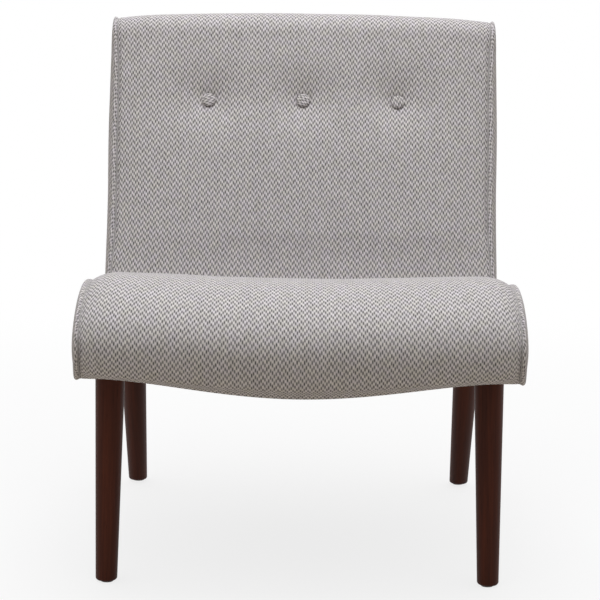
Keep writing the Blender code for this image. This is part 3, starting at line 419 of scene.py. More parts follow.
    def seat_path(self) -> list[Vector]:
        """Path of the seat cover, from its hem over the roll to the crease.

        Returns:
            The points, in (depth, height).
        """
        rising = Draft.left(Draft.heading(self.roll_edge_angle))
        hem = self.edge + self.under * (self.hem_back - self.edge.x)
        corner = Draft.corner(
            hem, self.edge, self.edge + rising, self.hem_corner, self.hem_steps)
        front = Vector((0.0, self.roll_front_height))
        crest = Vector(self.crest)
        up, level = Draft.heading(math.pi / 2), Draft.heading(0)
        half_turn = (math.pi / 2 - self.recline + self.seat_pitch) / 2
        reach = self.crease_radius * math.tan(half_turn) + self.hem_corner
        end = self.crease - self.along_seat * reach
        points = [hem] + corner
        points += Draft.bend(corner[-1], rising, front, up, self.front_steps)[1:]
        steps = self.roll_steps
        points += Draft.bend(front, up, crest, level, steps, self.front_pull)[1:]
        points += Draft.bend(crest, level, end, self.along_seat, steps, self.seat_pull)[1:]
        return points + self.crease_round()[:self.crease_steps // 2 + 1]

    def back_path(self) -> list[Vector]:
        """Path of the inside back, from the crease over the top to the rear edge."""
        points = self.crease_round()[self.crease_steps // 2:] + self.top_round()
        return points + self.rear_round() + [self.down_rear()]

    def rear_path(self) -> list[Vector]:
        """Path of the outside back, from the rear edge at the top to the underside."""
        return [self.down_rear(self.rear_gap)] + self.foot_round()

    def edges(self) -> tuple[list[Vector], list[Vector]]:
        """Both edges of a side panel, from the nose of the roll to the top of the rear.

        Returns:
            The edge over the seat and the back, and the edge under the seat and up the rear.
        """
        seat = self.seat_path()
        nose = min(range(len(seat)), key=lambda index: seat[index].x)
        rear = self.rear_round()[self.rear_joint:]
        crease = self.crease_round()[self.crease_steps // 2 + 1:]
        inner = seat[nose:] + crease + self.top_round() + rear[:1]
        return inner, seat[nose:0:-1] + self.foot_round()[::-1] + rear[::-1]


class Bench:
    """Hand tools that every piece is made with."""

    @staticmethod
    def clear() -> None:
        """Leave edit mode and deselect everything."""
        if bpy.context.object is not None and bpy.context.object.mode != "OBJECT":
            bpy.ops.object.mode_set(mode="OBJECT")
        bpy.ops.object.select_all(action="DESELECT")

    @staticmethod
    def hold(*pieces: bpy.types.Object) -> None:
        """Select these pieces alone, with the first of them active.

        Args:
            pieces: The pieces to select.
        """
        Bench.clear()
        for piece in pieces:
            piece.select_set(True)
        bpy.context.view_layer.objects.active = pieces[0]

    @staticmethod
    def take(name: str) -> bpy.types.Object:
        """Name the piece that is active, and its mesh.

        Args:
            name: The new name.

        Returns:
            The piece.
        """
        piece = bpy.context.object
        piece.name = name
        piece.data.name = name
        return piece

    @staticmethod
    def points(mesh: bpy.types.Mesh) -> np.ndarray:
        """Places of a mesh's points, one row each.

        Args:
            mesh: The mesh to read.

        Returns:
            Rows of three numbers.
        """
        flat = np.empty(len(mesh.vertices) * 3)
        mesh.vertices.foreach_get("co", flat)
        return flat.reshape(-1, 3)

    @staticmethod
    def lay(mesh: bpy.types.Mesh, places: np.ndarray, cloth: np.ndarray) -> None:
        """Move a mesh's points and lay its faces out on the flat cloth.

        Args:
            mesh: The mesh.
            places: New place of each point.
            cloth: Place of each point on the flat cloth, in metres.
        """
        mesh.vertices.foreach_set("co", places.astype(np.float32).ravel())
        corner = np.empty(len(mesh.loops), dtype=int)
        mesh.loops.foreach_get("vertex_index", corner)
        layer = mesh.uv_layers[0] if mesh.uv_layers else mesh.uv_layers.new()
        layer.name = CLOTH_UV
        layer.uv.foreach_set("vector", cloth[corner].astype(np.float32).ravel())
        mesh.update()

    @staticmethod
    def mould(name: str, places: np.ndarray, cloth: np.ndarray) -> bpy.types.Object:
        """Add a sheet of faces and shape it.

        Args:
            name: Name of the piece.
            places: Rows by columns by 3, the points in space.
            cloth: Rows by columns by 2, the points on the flat cloth, in metres.

        Returns:
            The sheet.
        """
        rows, columns = places.shape[:2]
        Bench.clear()
        bpy.ops.mesh.primitive_grid_add(
            x_subdivisions=columns - 1, y_subdivisions=rows - 1, size=1.0)
        piece = Bench.take(name)
        share = Bench.points(piece.data)[:, :2] + 0.5
        column = np.rint(share[:, 0] * (columns - 1)).astype(int)
        row = np.rint(share[:, 1] * (rows - 1)).astype(int)
        Bench.lay(piece.data, places[row, column], cloth[row, column])
        return piece

    @staticmethod
    def edit(piece: bpy.types.Object) -> None:
        """Open one piece in edit mode, with all of it selected.

        Args:
            piece: The piece to open.
        """
        Bench.hold(piece)
        bpy.ops.object.mode_set(mode="EDIT")
        bpy.ops.mesh.select_all(action="SELECT")

    @staticmethod
    def flip(piece: bpy.types.Object) -> None:
        """Turn a piece's faces to their other side.

        Args:
            piece: The piece to turn.
        """
        Bench.edit(piece)
        bpy.ops.mesh.flip_normals()
        bpy.ops.object.mode_set(mode="OBJECT")

    @staticmethod
    def thicken(piece: bpy.types.Object, wall: float) -> None:
        """Give an open sheet a wall that grows inwards, close it and shade it smooth.

        Args:
            piece: The open sheet.
            wall: Thickness of the wall.
        """
        solid = piece.modifiers.new("wall", "SOLIDIFY")
        solid.thickness = wall
        solid.offset = -1
        Bench.hold(piece)
        bpy.ops.object.modifier_apply(modifier=solid.name)
        Bench.smooth(piece, SHEET_EDGE)

    @staticmethod
    def settle(piece: bpy.types.Object) -> None:
        """Bring a piece's place and turn into its mesh."""
        Bench.hold(piece)
        bpy.ops.object.transform_apply(location=True, rotation=True, scale=True)

    @staticmethod
    def smooth(piece: bpy.types.Object, angle: float) -> None:
        """Shade a piece smooth, with edges past this angle in degrees sharp."""
        Bench.hold(piece)
        bpy.ops.object.shade_smooth_by_angle(angle=math.radians(angle))

    @staticmethod
    def scatter(
        name: str, first: bpy.types.Object, spots: list[tuple[Vector, tuple]]
    ) -> bpy.types.Object:
        """Copy a small piece to each spot, each copy with its own mesh, and join them.

        Args:
            name: Name of the joined piece.
            first: The small piece, which goes to the first spot.
            spots: Place and turn of each copy.

        Returns:
            The joined piece.
        """
        copies = [first]
        for _ in spots[1:]:
            copy = first.copy()
            copy.data = first.data.copy()
            bpy.context.scene.collection.objects.link(copy)
            copies.append(copy)
        for copy, (place, turn) in zip(copies, spots):
            copy.location = place
            copy.rotation_euler = turn
        Bench.hold(*copies)
        bpy.ops.object.join()
        piece = Bench.take(name)
        Bench.settle(piece)
        return piece

    @staticmethod
    def hand_over(
        piece: bpy.types.Object, finish: bpy.types.Material, slot: Slot, *nodes: str
    ) -> bpy.types.Object:
        """Dress a finished piece and fix it to the chair.

        Args:
            piece: The finished piece.
            finish: Its material.
            slot: The record's slot that the finish belongs to; not used.
            nodes: Solids that the piece stands for.

        Returns:
            The piece.
        """
        piece.data.materials.clear()
        piece.data.materials.append(finish)
        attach(piece, BODY)
        if nodes:
            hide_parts(*nodes)
        log.info("%s: %d faces", piece.name, len(piece.data.polygons))
        return piece


class Wire:
    """One value, colour or shader of a node board, with the arithmetic that adds nodes."""

    def __init__(self, board: "Board", socket: bpy.types.NodeSocket) -> None:
        """Keep the socket and the board that it lies on."""
        self.board = board
        self.socket = socket

    def maths(self, operation: str, *others: "Wire | float") -> "Wire":
        """Result of a Math node on this value and the others."""
        return self.board.add("Math", {"operation": operation}, [self, *others])

    def __add__(self, other: "Wire | float") -> "Wire":
        """Sum."""
        return self.maths("ADD", other)

    __radd__ = __add__

    def __sub__(self, other: "Wire | float") -> "Wire":
        """Difference."""
        return self.maths("SUBTRACT", other)

    def __rsub__(self, other: float) -> "Wire":
        """Difference from a number."""
        return self.board.add("Math", {"operation": "SUBTRACT"}, [other, self])

    def __mul__(self, other: "Wire | float") -> "Wire":
        """Product."""
        return self.maths("MULTIPLY", other)

    __rmul__ = __mul__

    def __truediv__(self, other: "Wire | float") -> "Wire":
        """Quotient."""
        return self.maths("DIVIDE", other)

    def __pow__(self, other: float) -> "Wire":
        """Power."""
        return self.maths("POWER", other)

    def __mod__(self, other: float) -> "Wire":
        """Remainder that never goes below zero."""
        return self.maths("FLOORED_MODULO", other)

    def __gt__(self, other: float) -> "Wire":
        """1 where this is greater."""
        return self.maths("GREATER_THAN", other)

    def __abs__(self) -> "Wire":
        """Size without sign."""
        return self.maths("ABSOLUTE")

    def floor(self) -> "Wire":
        """Whole part."""
        return self.maths("FLOOR")

    def fraction(self) -> "Wire":
        """Part after the whole number."""
        return self.maths("FRACT")

    def root(self) -> "Wire":
        """Square root."""
        return self.maths("SQRT")

    def sine(self) -> "Wire":
        """Sine."""
        return self.maths("SINE")

    def most(self, other: "Wire | float") -> "Wire":
        """Greater of two values."""
        return self.maths("MAXIMUM", other)

    def rise(self, low: float, high: float, start: float = 0.0, end: float = 1.0) -> "Wire":
        """Smooth step from start to end while this goes from low to high.

        Args:
            low: Value at which the step starts.
            high: Value at which it ends.
            start: Result below the step.
            end: Result above it.

        Returns:
            The step.
        """
        return self.board.add(
            "MapRange", {"interpolation_type": "SMOOTHSTEP"},
            {"Value": self, "From Min": low, "From Max": high, "To Min": start, "To Max": end},
        )


@dataclass
class Board:
    """Node board of a material or of the sky."""

    holder: "bpy.types.Material | bpy.types.World"
    nodes: "bpy.types.Nodes" = field(init=False)

    def __post_init__(self) -> None:
        """Open the holder's nodes."""
        self.holder.use_nodes = True
        self.nodes = self.holder.node_tree.nodes

    @staticmethod
    def new(name: str) -> "Board":
        """Board of a new material."""
        return Board(bpy.data.materials.new(name))

    @property
    def shader(self) -> bpy.types.Node:
        """The material's main shader."""
        return self.nodes["Principled BSDF"]

    def plug(self, target: bpy.types.NodeSocket, value: "Wire | float | tuple") -> None:
        """Link a wire to one socket, or set a number, colour or vector.

        Args:
            target: The socket.
            value: What it takes.
        """
        if isinstance(value, Wire):
            self.holder.node_tree.links.new(value.socket, target)
        elif isinstance(value, tuple) and len(value) == 3 and target.type == "RGBA":
            target.default_value = (*value, 1.0)
        else:
            target.default_value = value

    def add(
        self, kind: str, settings: dict, inputs: "dict | list", output: "int | str" = 0
    ) -> Wire:
        """Add any node.

        Args:
            kind: Type of the node, without ShaderNode before it.
            settings: Its settings, set first.
            inputs: Values or wires of its sockets, by name or in order.
            output: The socket that is wanted.

        Returns:
            The wanted output.
        """
        node = self.nodes.new("ShaderNode" + kind)
        for setting, value in settings.items():
            setattr(node, setting, value)
        pairs = inputs.items() if isinstance(inputs, dict) else enumerate(inputs)
        for socket, value in pairs:
            self.plug(node.inputs[socket], value)
        return Wire(self, node.outputs[output])

    def mix(self, share: "Wire | float", first: "Wire | tuple", second: "Wire | tuple") -> Wire:
        """Mix two colours, all of the first where the share is 0.

        Args:
            share: How much of the second there is.
            first: First colour.
            second: Second colour.

        Returns:
            The mixed colour.
        """
        return self.add(
            "Mix", {"data_type": "RGBA"}, {0: share, 6: first, 7: second}, 2
        )

    def shade(self, colour: Wire, value: Wire) -> Wire:
        """Darken or lighten a colour by a value.

        Args:
            colour: The colour.
            value: Factor of its lightness.

        Returns:
            The shaded colour.
        """
        return self.add(
            "Mix", {"data_type": "RGBA", "blend_type": "MULTIPLY"},
            {0: 1.0, 6: colour, 7: self.join(value, value, value)}, 2,
        )

    def blend(self, share: Wire, first: Wire, second: Wire) -> Wire:
        """Mix two shaders, all of the first where the share is 0."""
        return self.add("MixShader", {}, [share, first, second])

    def parts(self, vector: Wire) -> tuple[Wire, ...]:
        """Split a vector into its three numbers."""
        node = self.add("SeparateXYZ", {}, [vector]).socket.node
        return tuple(Wire(self, output) for output in node.outputs)

    def join(self, x: "Wire | float", y: "Wire | float", z: "Wire | float" = 0.0) -> Wire:
        """Make a vector of three numbers."""
        return self.add("CombineXYZ", {}, [x, y, z])

    def on_object(self) -> Wire:
        """Place on the object, in metres."""
        return self.add("TexCoord", {}, {}, "Object")

    def on_cloth(self) -> Wire:
        """Place on the flat cloth, in metres."""
        return self.add("UVMap", {"uv_map": CLOTH_UV}, {})

    def stretched(self, vector: Wire, *scale: float) -> Wire:
        """Scale a place along each axis."""
        return self.add("Mapping", {}, {"Vector": vector, "Scale": scale})

    def cloud(
        self, vector: Wire, scale: float = 1.0, detail: float = 2.0, rough: float = 0.5
    ) -> Wire:
        """Soft noise from 0 to 1.

        Args:
            vector: Place that it is read at.
            scale: Spots to a unit.
            detail: Number of finer layers.
            rough: Weight of the finer layers.

        Returns:
            The value.
        """
        return self.add(
            "TexNoise", {},
            {"Vector": vector, "Scale": scale, "Detail": detail, "Roughness": rough},
        )

    def speck(self, vector: Wire) -> Wire:
        """One fixed random number from 0 to 1 for each place."""
        return self.add("TexWhiteNoise", {"noise_dimensions": "2D"}, {"Vector": vector})

    def shown(self) -> Wire:
        """1 for camera, mirror and glass rays, which meet the plain white ground.

        Returns:
            A wire that is 1 or 0.
        """
        camera, mirror, glass = (
            self.add("LightPath", {}, {}, f"Is {ray} Ray")
            for ray in ("Camera", "Glossy", "Transmission"))
        return camera.most(mirror).most(glass)

    def relief(self, height: Wire, depth: float, strength: float) -> None:
        """Raise the surface by a height from 0 to 1, for a depth in metres.

        Args:
            height: The height.
            depth: Depth of the relief in metres.
            strength: Share of the relief that is shown.
        """
        bump = self.add(
            "Bump", {}, {"Height": height, "Distance": depth, "Strength": strength}
        )
        self.plug(self.shader.inputs["Normal"], bump)

    def done(
        self, colour: "Wire | tuple", rough: "Wire | float", **plain: float
    ) -> bpy.types.Material:
        """Finish the material.

        Args:
            colour: Base colour.
            rough: Roughness.
            plain: Uniform values of other sockets, with _ for a space in the name.

        Returns:
            The material.
        """
        self.plug(self.shader.inputs["Base Color"], colour)
        self.plug(self.shader.inputs["Roughness"], rough)
        for name, value in plain.items():
            self.shader.inputs[name.replace("_", " ")].default_value = value
        return self.holder


@dataclass(frozen=True)
class OvalWeave:
    """Pale jacquard cloth: long light floats with dark flecks in a broken twill."""

    yarn: float = 0.0026
    repeat: float = 0.0104
    light: Colour = (0.830, 0.780, 0.808)
    warm: Colour = (0.810, 0.772, 0.738)
    fleck: Colour = (0.040, 0.037, 0.036)
    uneven_step: float = 0.036
    relief: float = 0.0006

    def paint(self) -> bpy.types.Material:
        """Make the material.

        Returns:
            The finished material.
        """
        board = Board.new("oval_weave")
        cloth = board.on_cloth()
        across, along, _ = board.parts(cloth)
        drift = board.cloud(cloth, 9.0, 1.0) - 0.5
        jitter = board.cloud(cloth, 170.0, 1.0) - 0.5
        thread = across / self.yarn
        column = thread + drift * 0.4 + jitter * 0.22
        number = column.floor()
        beside = abs(column.fraction() - 0.5)
        step = number % 4
        offset = (step + (step > 1.5) - (step > 2.5) * 2) / 4
        offset = offset + ((step > 0.5) - (step > 2.5)) * self.uneven_step
        wander = board.speck(board.join(number, 3.7)) * 0.05
        nudge = board.cloud(board.join(thread, along * 120.0), 1.0, 1.0) - 0.5
        run = along / self.repeat + offset + wander + drift * 0.2 + nudge * 0.16
        chance = board.speck(board.join(number, run.floor()))
        depth = board.speck(board.join(number + 0.5, (run + 0.5).floor() + 7.3))
        sunk = abs(run.fraction() - 0.5).rise(0.10, 0.40)
        strands = board.join(thread * 9.0 + along * 700.0, along * 1400.0)
        fibre = board.cloud(strands, 1.0, 2.0, 0.6)
        fuzz = board.cloud(cloth, 60.0, 3.0, 0.6)
        tone = board.mix(fuzz.rise(0.32, 0.68), self.light, self.warm)
        # Painted shade: each yarn darkens towards its edges, where shade falls between yarns;
        # fibre and per-float tone vary at random on top.
        bright = beside.rise(0.28, 0.50, 1.0, 0.84)
        bright = bright * (0.90 + fibre * 0.20) * (0.92 + chance * 0.16)
        share = sunk * beside.rise(0.16, 0.46, 1.0, 0.22) * (0.84 + depth ** 3.0 * 0.16)
        height = (1 - beside * beside * 2.6) * (1 - sunk * 0.7) + fibre * 0.14
        board.relief(height, self.relief, 0.8)
        return board.done(
            board.mix(share, board.shade(tone, bright), self.fleck), 0.92,
            Sheen_Weight=0.18, Sheen_Roughness=0.45, Specular_IOR_Level=0.25,
        )


@dataclass(frozen=True)
class EspressoWood:
    """Dark stained hardwood under a satin lacquer, grain along the leg."""

    dark: Colour = (0.044, 0.0112, 0.0060)
    red: Colour = (0.112, 0.0285, 0.0142)
    relief: float = 0.00012

    def paint(self) -> bpy.types.Material:
        """Make the material.

        Returns:
            The finished material.
        """
        board = Board.new("espresso_wood")
        place = board.add("Attribute", {"attribute_name": LEG_PLACE}, {}, "Vector")
        band = board.cloud(board.stretched(place, 38.0, 38.0, 2.4), 1.0, 4.0, 0.6)
        pore = board.cloud(board.stretched(place, 900.0, 900.0, 22.0), 1.0, 2.0, 0.7)
        streak = board.cloud(board.stretched(place, 210.0, 210.0, 5.0), 1.0, 3.0, 0.6)
        share = band.rise(0.30, 0.72) * 0.62 + streak.rise(0.35, 0.75) * 0.38
        open_pore = pore.rise(0.60, 0.74)
        colour = board.shade(board.mix(share, self.dark, self.red), 1 - open_pore * 0.45)
        board.relief(1 - open_pore * 0.8 + streak * 0.15, self.relief, 0.5)
        return board.done(
            colour, 0.44 + streak * 0.10 + open_pore * 0.14,
            Coat_Weight=0.02, Coat_Roughness=0.30, Specular_IOR_Level=0.11,
        )


@dataclass(frozen=True)
class DustCloth:
    """Black non-woven cloth with its pressed dot pattern."""

    black: Colour = (0.010, 0.010, 0.011)
    worn: Colour = (0.030, 0.030, 0.032)
    dots: float = 2200.0

    def paint(self) -> bpy.types.Material:
        """Make the material.

        Returns:
            The finished material.
        """
        board = Board.new("dust_cloth")
        place = board.on_object()
        x, y, _ = board.parts(place)
        fibre = board.cloud(board.stretched(place, 900.0, 260.0, 260.0), 1.0, 3.0, 0.7)
        dot = ((x * self.dots).sine() * (y * self.dots).sine()).rise(0.45, 0.80)
        board.relief(fibre * 0.5 - dot * 0.5, 0.0003, 0.6)
        colour = board.mix(fibre.rise(0.35, 0.8), self.black, self.worn)
        return board.done(colour, 0.85 - dot * 0.2, Specular_IOR_Level=0.3)


class TimberCut(Enum):
    """How a raw inner timber shows its grain."""

    PLY = "ply"
    RAIL = "rail"


@dataclass(frozen=True)
class RawTimber:
    """Unfinished timber of the hidden frame."""

    name: str
    cut: TimberCut
    pale: Colour
    deep: Colour
    ply_layer: float = 0.003

    def paint(self) -> bpy.types.Material:
        """Make the material.

        Returns:
            The finished material.
        """
        board = Board.new(self.name)
        place = board.on_object()
        if self.cut is TimberCut.PLY:
            x, _, _ = board.parts(place)
            layer = (x * 2 * math.pi / self.ply_layer).sine().rise(-0.3, 0.3)
            grain = board.cloud(board.stretched(place, 600.0, 60.0, 8.0), 1.0, 3.0)
            share = grain * 0.6 + layer * 0.3
        else:
            grain = board.cloud(board.stretched(place, 6.0, 140.0, 140.0), 1.0, 4.0, 0.6)
            share = grain
        board.relief(grain, 0.0002, 0.4)
        return board.done(board.mix(share.rise(0.2, 0.8), self.pale, self.deep), 0.75)


@dataclass(frozen=True)
class SoftStuff:
    """Foam, felt or webbing: a matt mass with fibres or cells."""

    name: str
    pale: Colour
    deep: Colour
    cells: float
    depth: float

    def paint(self) -> bpy.types.Material:
        """Make the material.

        Returns:
            The finished material.
        """
        board = Board.new(self.name)
        place = board.on_object()
        cell = board.cloud(place, self.cells, 3.0, 0.7)
        patch = board.cloud(place, self.cells / 20)
        board.relief(cell, self.depth, 0.7)
        return board.done(board.mix(cell * 0.6 + patch * 0.4, self.pale, self.deep), 0.95)


@dataclass(frozen=True)
class DrawnSteel:
    """Bright drawn wire and pressed steel."""

    bright: Colour = (0.58, 0.58, 0.59)
    dull: Colour = (0.36, 0.36, 0.37)

    def paint(self) -> bpy.types.Material:
        """Make the material.

        Returns:
            The finished material.
        """
        board = Board.new("drawn_steel")
        place = board.on_object()
        wipe = board.cloud(board.stretched(place, 900.0, 40.0, 900.0), 1.0, 3.0)
        patch = board.cloud(place, 60.0, 3.0).rise(0.45, 0.8)
        return board.done(
            board.mix(patch, self.bright, self.dull), 0.26 + wipe * 0.18, Metallic=1.0)


@dataclass(frozen=True)
class Moulded:
    """Moulded plastic or waxed thread, with a fine uneven skin."""

    name: str
    colour: Colour
    scuff: Colour
    rough: float

    def paint(self) -> bpy.types.Material:
        """Make the material.

        Returns:
            The finished material.
        """
        board = Board.new(self.name)
        place = board.on_object()
        grain = board.cloud(place, 1400.0)
        wear = board.cloud(place, 180.0, 4.0, 0.7).rise(0.55, 0.75)
        board.relief(grain, 0.00008, 0.5)
        return board.done(
            board.mix(wear * 0.5, self.colour, self.scuff), self.rough + grain * 0.12)


@dataclass
class Pad:
    """A cover over its padding, drawn as rows along a side path and columns across."""

    outline: SideOutline
    cloth: bpy.types.Material
    rows: int = 150
    crown: float = 0.013
    reach: float = 0.045
    roll_power: float = 2.6
    wall: float = 0.0035
    fill: float = 0.9
    stitch_dip: float = 0.0010
    dip_width: float = 0.0017
    seam_fall: float = 0.0034
    fall_width: float = 0.0015
    stitch_column: int = 5
    insets_mm: tuple[float, ...] = (0, 0.5, 1.0, 1.6, 2.3, 3.0, 3.7, 4.5, 5.5, 6.9, 8.8)
    column_step: float = 0.0035
    middle_columns: int = 108
    placed: np.ndarray = field(init=False, repr=False)

    @property
    def insets(self) -> np.ndarray:
        """Distances of the outer columns from the side seam."""
        return np.array(self.insets_mm) / 1000

    def columns(self) -> np.ndarray:
        """Places across, close together at the side seams.

        Returns:
            The places, from left to right.
        """
        outer = self.outline.seam_half - self.insets
        end = outer[-1] - self.column_step
        return np.concatenate((-outer, np.linspace(-end, end, self.middle_columns), outer[::-1]))

    def edge_roll(self, x: np.ndarray) -> np.ndarray:
        """How far the padding has risen at these widths, from 0 to 1."""
        into = np.clip((self.outline.seam_half - np.abs(x)) / self.reach, 0, 1)
        return 1 - (1 - into) ** self.roll_power

    def seam_dip(self, x: np.ndarray) -> np.ndarray:
        """Depth of the stitched valley beside the side seams.

        Args:
            x: Places across.

        Returns:
            The depth at each place.
        """
        inset = self.outline.seam_half - np.abs(x)
        stitched = self.insets[self.stitch_column]
        valley = self.stitch_dip * np.exp(-((inset - stitched) / self.dip_width) ** 2)
        return valley + self.seam_fall * np.exp(-inset / self.fall_width)

    @staticmethod
    def unevenness(first: np.ndarray, second: np.ndarray, size: float, seed: float) -> np.ndarray:
        """Slow unevenness of a stuffed surface.

        Args:
            first: Places one way.
            second: Places the other way, of the same shape.
            size: Width of one hollow.
            seed: Offset of the pattern.

        Returns:
            Values about zero, up to 1 in size.
        """
        values = [noise.noise(Vector((a / size, b / size, seed)))
                  for a, b in zip(first.ravel(), second.ravel())]
        return np.array(values).reshape(first.shape)

    def sew(
        self, name: str, path: np.ndarray, swell: np.ndarray, drop: np.ndarray, *nodes: str
    ) -> bpy.types.Object:
        """Place the cover in space and on its flat cloth, and finish it.

        Args:
            name: Name of the piece.
            path: Rows by (depth, height).
            swell: Rows by columns, height over the path.
            drop: Rows by columns, sinking straight down.
            nodes: Solids that the piece stands for.

        Returns:
            The finished piece.
        """
        x = self.columns()
        self.placed = self.outline.place(path, x, swell, drop)
        flat_x = Draft.reach(np.stack((x, swell[swell.shape[0] // 2]), axis=1))
        flat_y = Draft.reach(self.placed[:, len(x) // 3])
        cloth = np.stack(np.broadcast_arrays(flat_x - flat_x[-1] / 2, flat_y[:, None]), axis=2)
        piece = Bench.mould(name, self.placed, cloth)
        Bench.thicken(piece, self.wall)
        return Bench.hand_over(piece, self.cloth, Slot.WEAVE, *nodes)

    def stitched_line(self, side: Side) -> np.ndarray:
        """Points along the bottom of the stitched valley of one side."""
        column = self.stitch_column if side is Side.LEFT else -1 - self.stitch_column
        return self.placed[:, column]


@dataclass
class SeatPad(Pad):
    """Seat cover over its foam, from the hem under the front to the crease."""

    hem_crown: float = 0.22
    crown_slope: float = 2.2
    end_power: float = 6
    hem_rise: Pair = (0.045, 0.05)
    sag: float = 0.0072
    bow: float = 0.026
    bow_power: float = 1.6
    bow_half: float = 0.279
    hollow: float = 0.0007
    hollow_size: float = 0.075
    hollow_seed: float = 2.3
    hollow_stretch: float = 0.75

    def build(self) -> bpy.types.Object:
        """Model the pad.

        Returns:
            The finished piece.
        """
        outline = self.outline
        path = Draft.even(outline.seat_path(), self.rows + 1)
        front, edge = outline.roll_front_height, outline.roll_edge[1]
        low = np.clip((front - path[:, 1]) / (front - edge), 0, None)
        ahead = path[:, 0] < outline.crest[0]
        span = outline.crease.x - outline.crest[0]
        rear = np.clip((path[:, 0] - outline.crest[0]) / span, 0, 1)
        run = np.linspace(0, 1, self.rows + 1)
        crown = self.hem_crown + self.crown_slope * np.clip(1 - low, 0, None)
        crown = np.minimum(1.0, crown) * (1 - rear ** self.end_power)
        crown *= Draft.ramp(run, *self.hem_rise)
        bow = np.where(ahead, np.minimum(1.0, low) ** self.bow_power, 0.0)
        sag = np.where(ahead, 1.0, (1 - rear) ** 0.5)
        drop = bow * (self.bow - self.sag) + sag * self.sag
        x = self.columns()
        risen = crown[:, None] * self.edge_roll(x)
        start, rise = self.hem_rise
        dip = np.clip((run - start) / rise, 0, 1) * outline.seam_depth(path[:, 1])
        a, b = np.meshgrid(x, run * self.hollow_stretch)
        uneven = self.unevenness(a, b, self.hollow_size, self.hollow_seed)
        swell = risen * (self.crown + self.hollow * uneven)
        swell = swell - dip[:, None] * self.seam_dip(x)
        drop = drop[:, None] * Draft.dome(x, self.bow_half)
        return self.sew("seat_pad", path, swell, drop, "seat_cover", "seat_foam")


@dataclass
class BackPad(Pad):
    """Inside-back cover over its foam, drawn in by the buttons."""

    crown: float = 0.0068
    reach: float = 0.085
    crown_slope: float = 5
    top_power: float = 3
    top_thin: float = 0.6
    arch: float = 0.0092
    arch_power: float = 4
    belly: float = 0.011
    button_xs: tuple[float, ...] = (-0.1562, 0.0, 0.1562)
    button_below_top: float = 0.1459
    button_radius: float = 0.0110
    tuft_depth: float = 0.0085
    tuft_across: float = 0.036
    tuft_up: float = 0.034
    cone: float = 0.0125
    cone_reach: float = 0.0110
    cone_core: float = 0.85
    valley: float = 0.0035
    valley_spread: float = 3
    lip: float = 0.0005
    lip_width: float = 0.0042
    lip_place: float = 1.35
    pleats: int = 6
    pleat_turn: float = 40
    pleat: float = 0.0004
    pleat_place: Pair = (0.017, 0.008)
    dip_fall: float = 2.0
    hollow: float = 0.0006
    hollow_size: float = 0.085
    hollow_seed: float = 7.9

    @property
    def button_up(self) -> float:
        """Height of the buttons up the back."""
        return self.outline.back_length - self.button_below_top

    def swell_at(self, up: np.ndarray, x: np.ndarray, crown: np.ndarray) -> np.ndarray:
        """Height of the cover over its side path.

        Args:
            up: Distance up the back.
            x: Place across.
            crown: Share of the crown here.

        Returns:
            The height.
        """
        half = self.outline.seam_half
        share = np.clip(up / self.outline.back_length, 0, 1)
        high = share ** self.arch_power
        bulge = self.arch * high + self.belly * np.sin(share * math.pi)
        swell = crown * self.crown * (1 - self.top_thin * high) * self.edge_roll(x)
        swell = swell + crown * bulge * (1 - (x / half) ** 2)
        rise = (up - self.button_up) / self.tuft_up
        edge = abs(self.button_xs[0]) + self.tuft_across
        fade = np.clip((half - np.abs(x)) / (half - edge), 0, 1)
        draw = self.valley * fade * np.exp(-rise ** 2 / self.valley_spread)
        core = self.button_radius * self.cone_core
        for place in self.button_xs:
            aside = (x - place) / self.tuft_across
            away = np.maximum(np.hypot(x - place, up - self.button_up), core)
            draw = draw + self.tuft_depth * np.exp(-(aside ** 2 + rise ** 2) / 2)
            draw = draw + self.cone * np.exp(-away / self.cone_reach)
        return swell - np.where(crown > 0, draw, 0.0)

    def build(self) -> bpy.types.Object:
        """Model the pad.

        Returns:
            The finished piece.
        """
        outline = self.outline
        path = Draft.even(outline.back_path(), self.rows + 1)
        x = self.columns()
        up = (path - np.array(outline.crease)) @ np.array(outline.up_back)
        behind = (path[:, 0] - outline.top_front.x) / outline.top_thickness
        crown = np.clip(self.crown_slope * up / outline.back_length, 0, 1)
        crown *= np.clip(1 - np.clip(behind, 0, None) ** self.top_power, 0, 1)
        across, along, full = np.broadcast_arrays(x, up[:, None], crown[:, None])
        swell = self.swell_at(along, across, full)
        for place in self.button_xs:
            away = np.hypot(across - place, along - self.button_up)
            ring = (away - self.button_radius * self.lip_place) / self.lip_width
            turn = np.arctan2(along - self.button_up, across - place) * self.pleats
            turn = turn + place * self.pleat_turn
            start, width = self.pleat_place
            fold = np.cos(turn) * np.exp(-((away - start) / width) ** 2)
            swell = swell + self.lip * np.exp(-ring ** 2) + self.pleat * fold
        dip = (1 - np.clip(behind * self.dip_fall, 0, 1)) * outline.seam_depth(path[:, 1])
        calm = self.edge_roll(x) * full * self.hollow
        uneven = self.unevenness(across, along, self.hollow_size, self.hollow_seed)
        swell = swell + calm * uneven
        swell = swell - dip[:, None] * self.seam_dip(x)
        return self.sew(
            "back_pad", path, swell, np.zeros_like(swell), "back_cover", "back_foam")


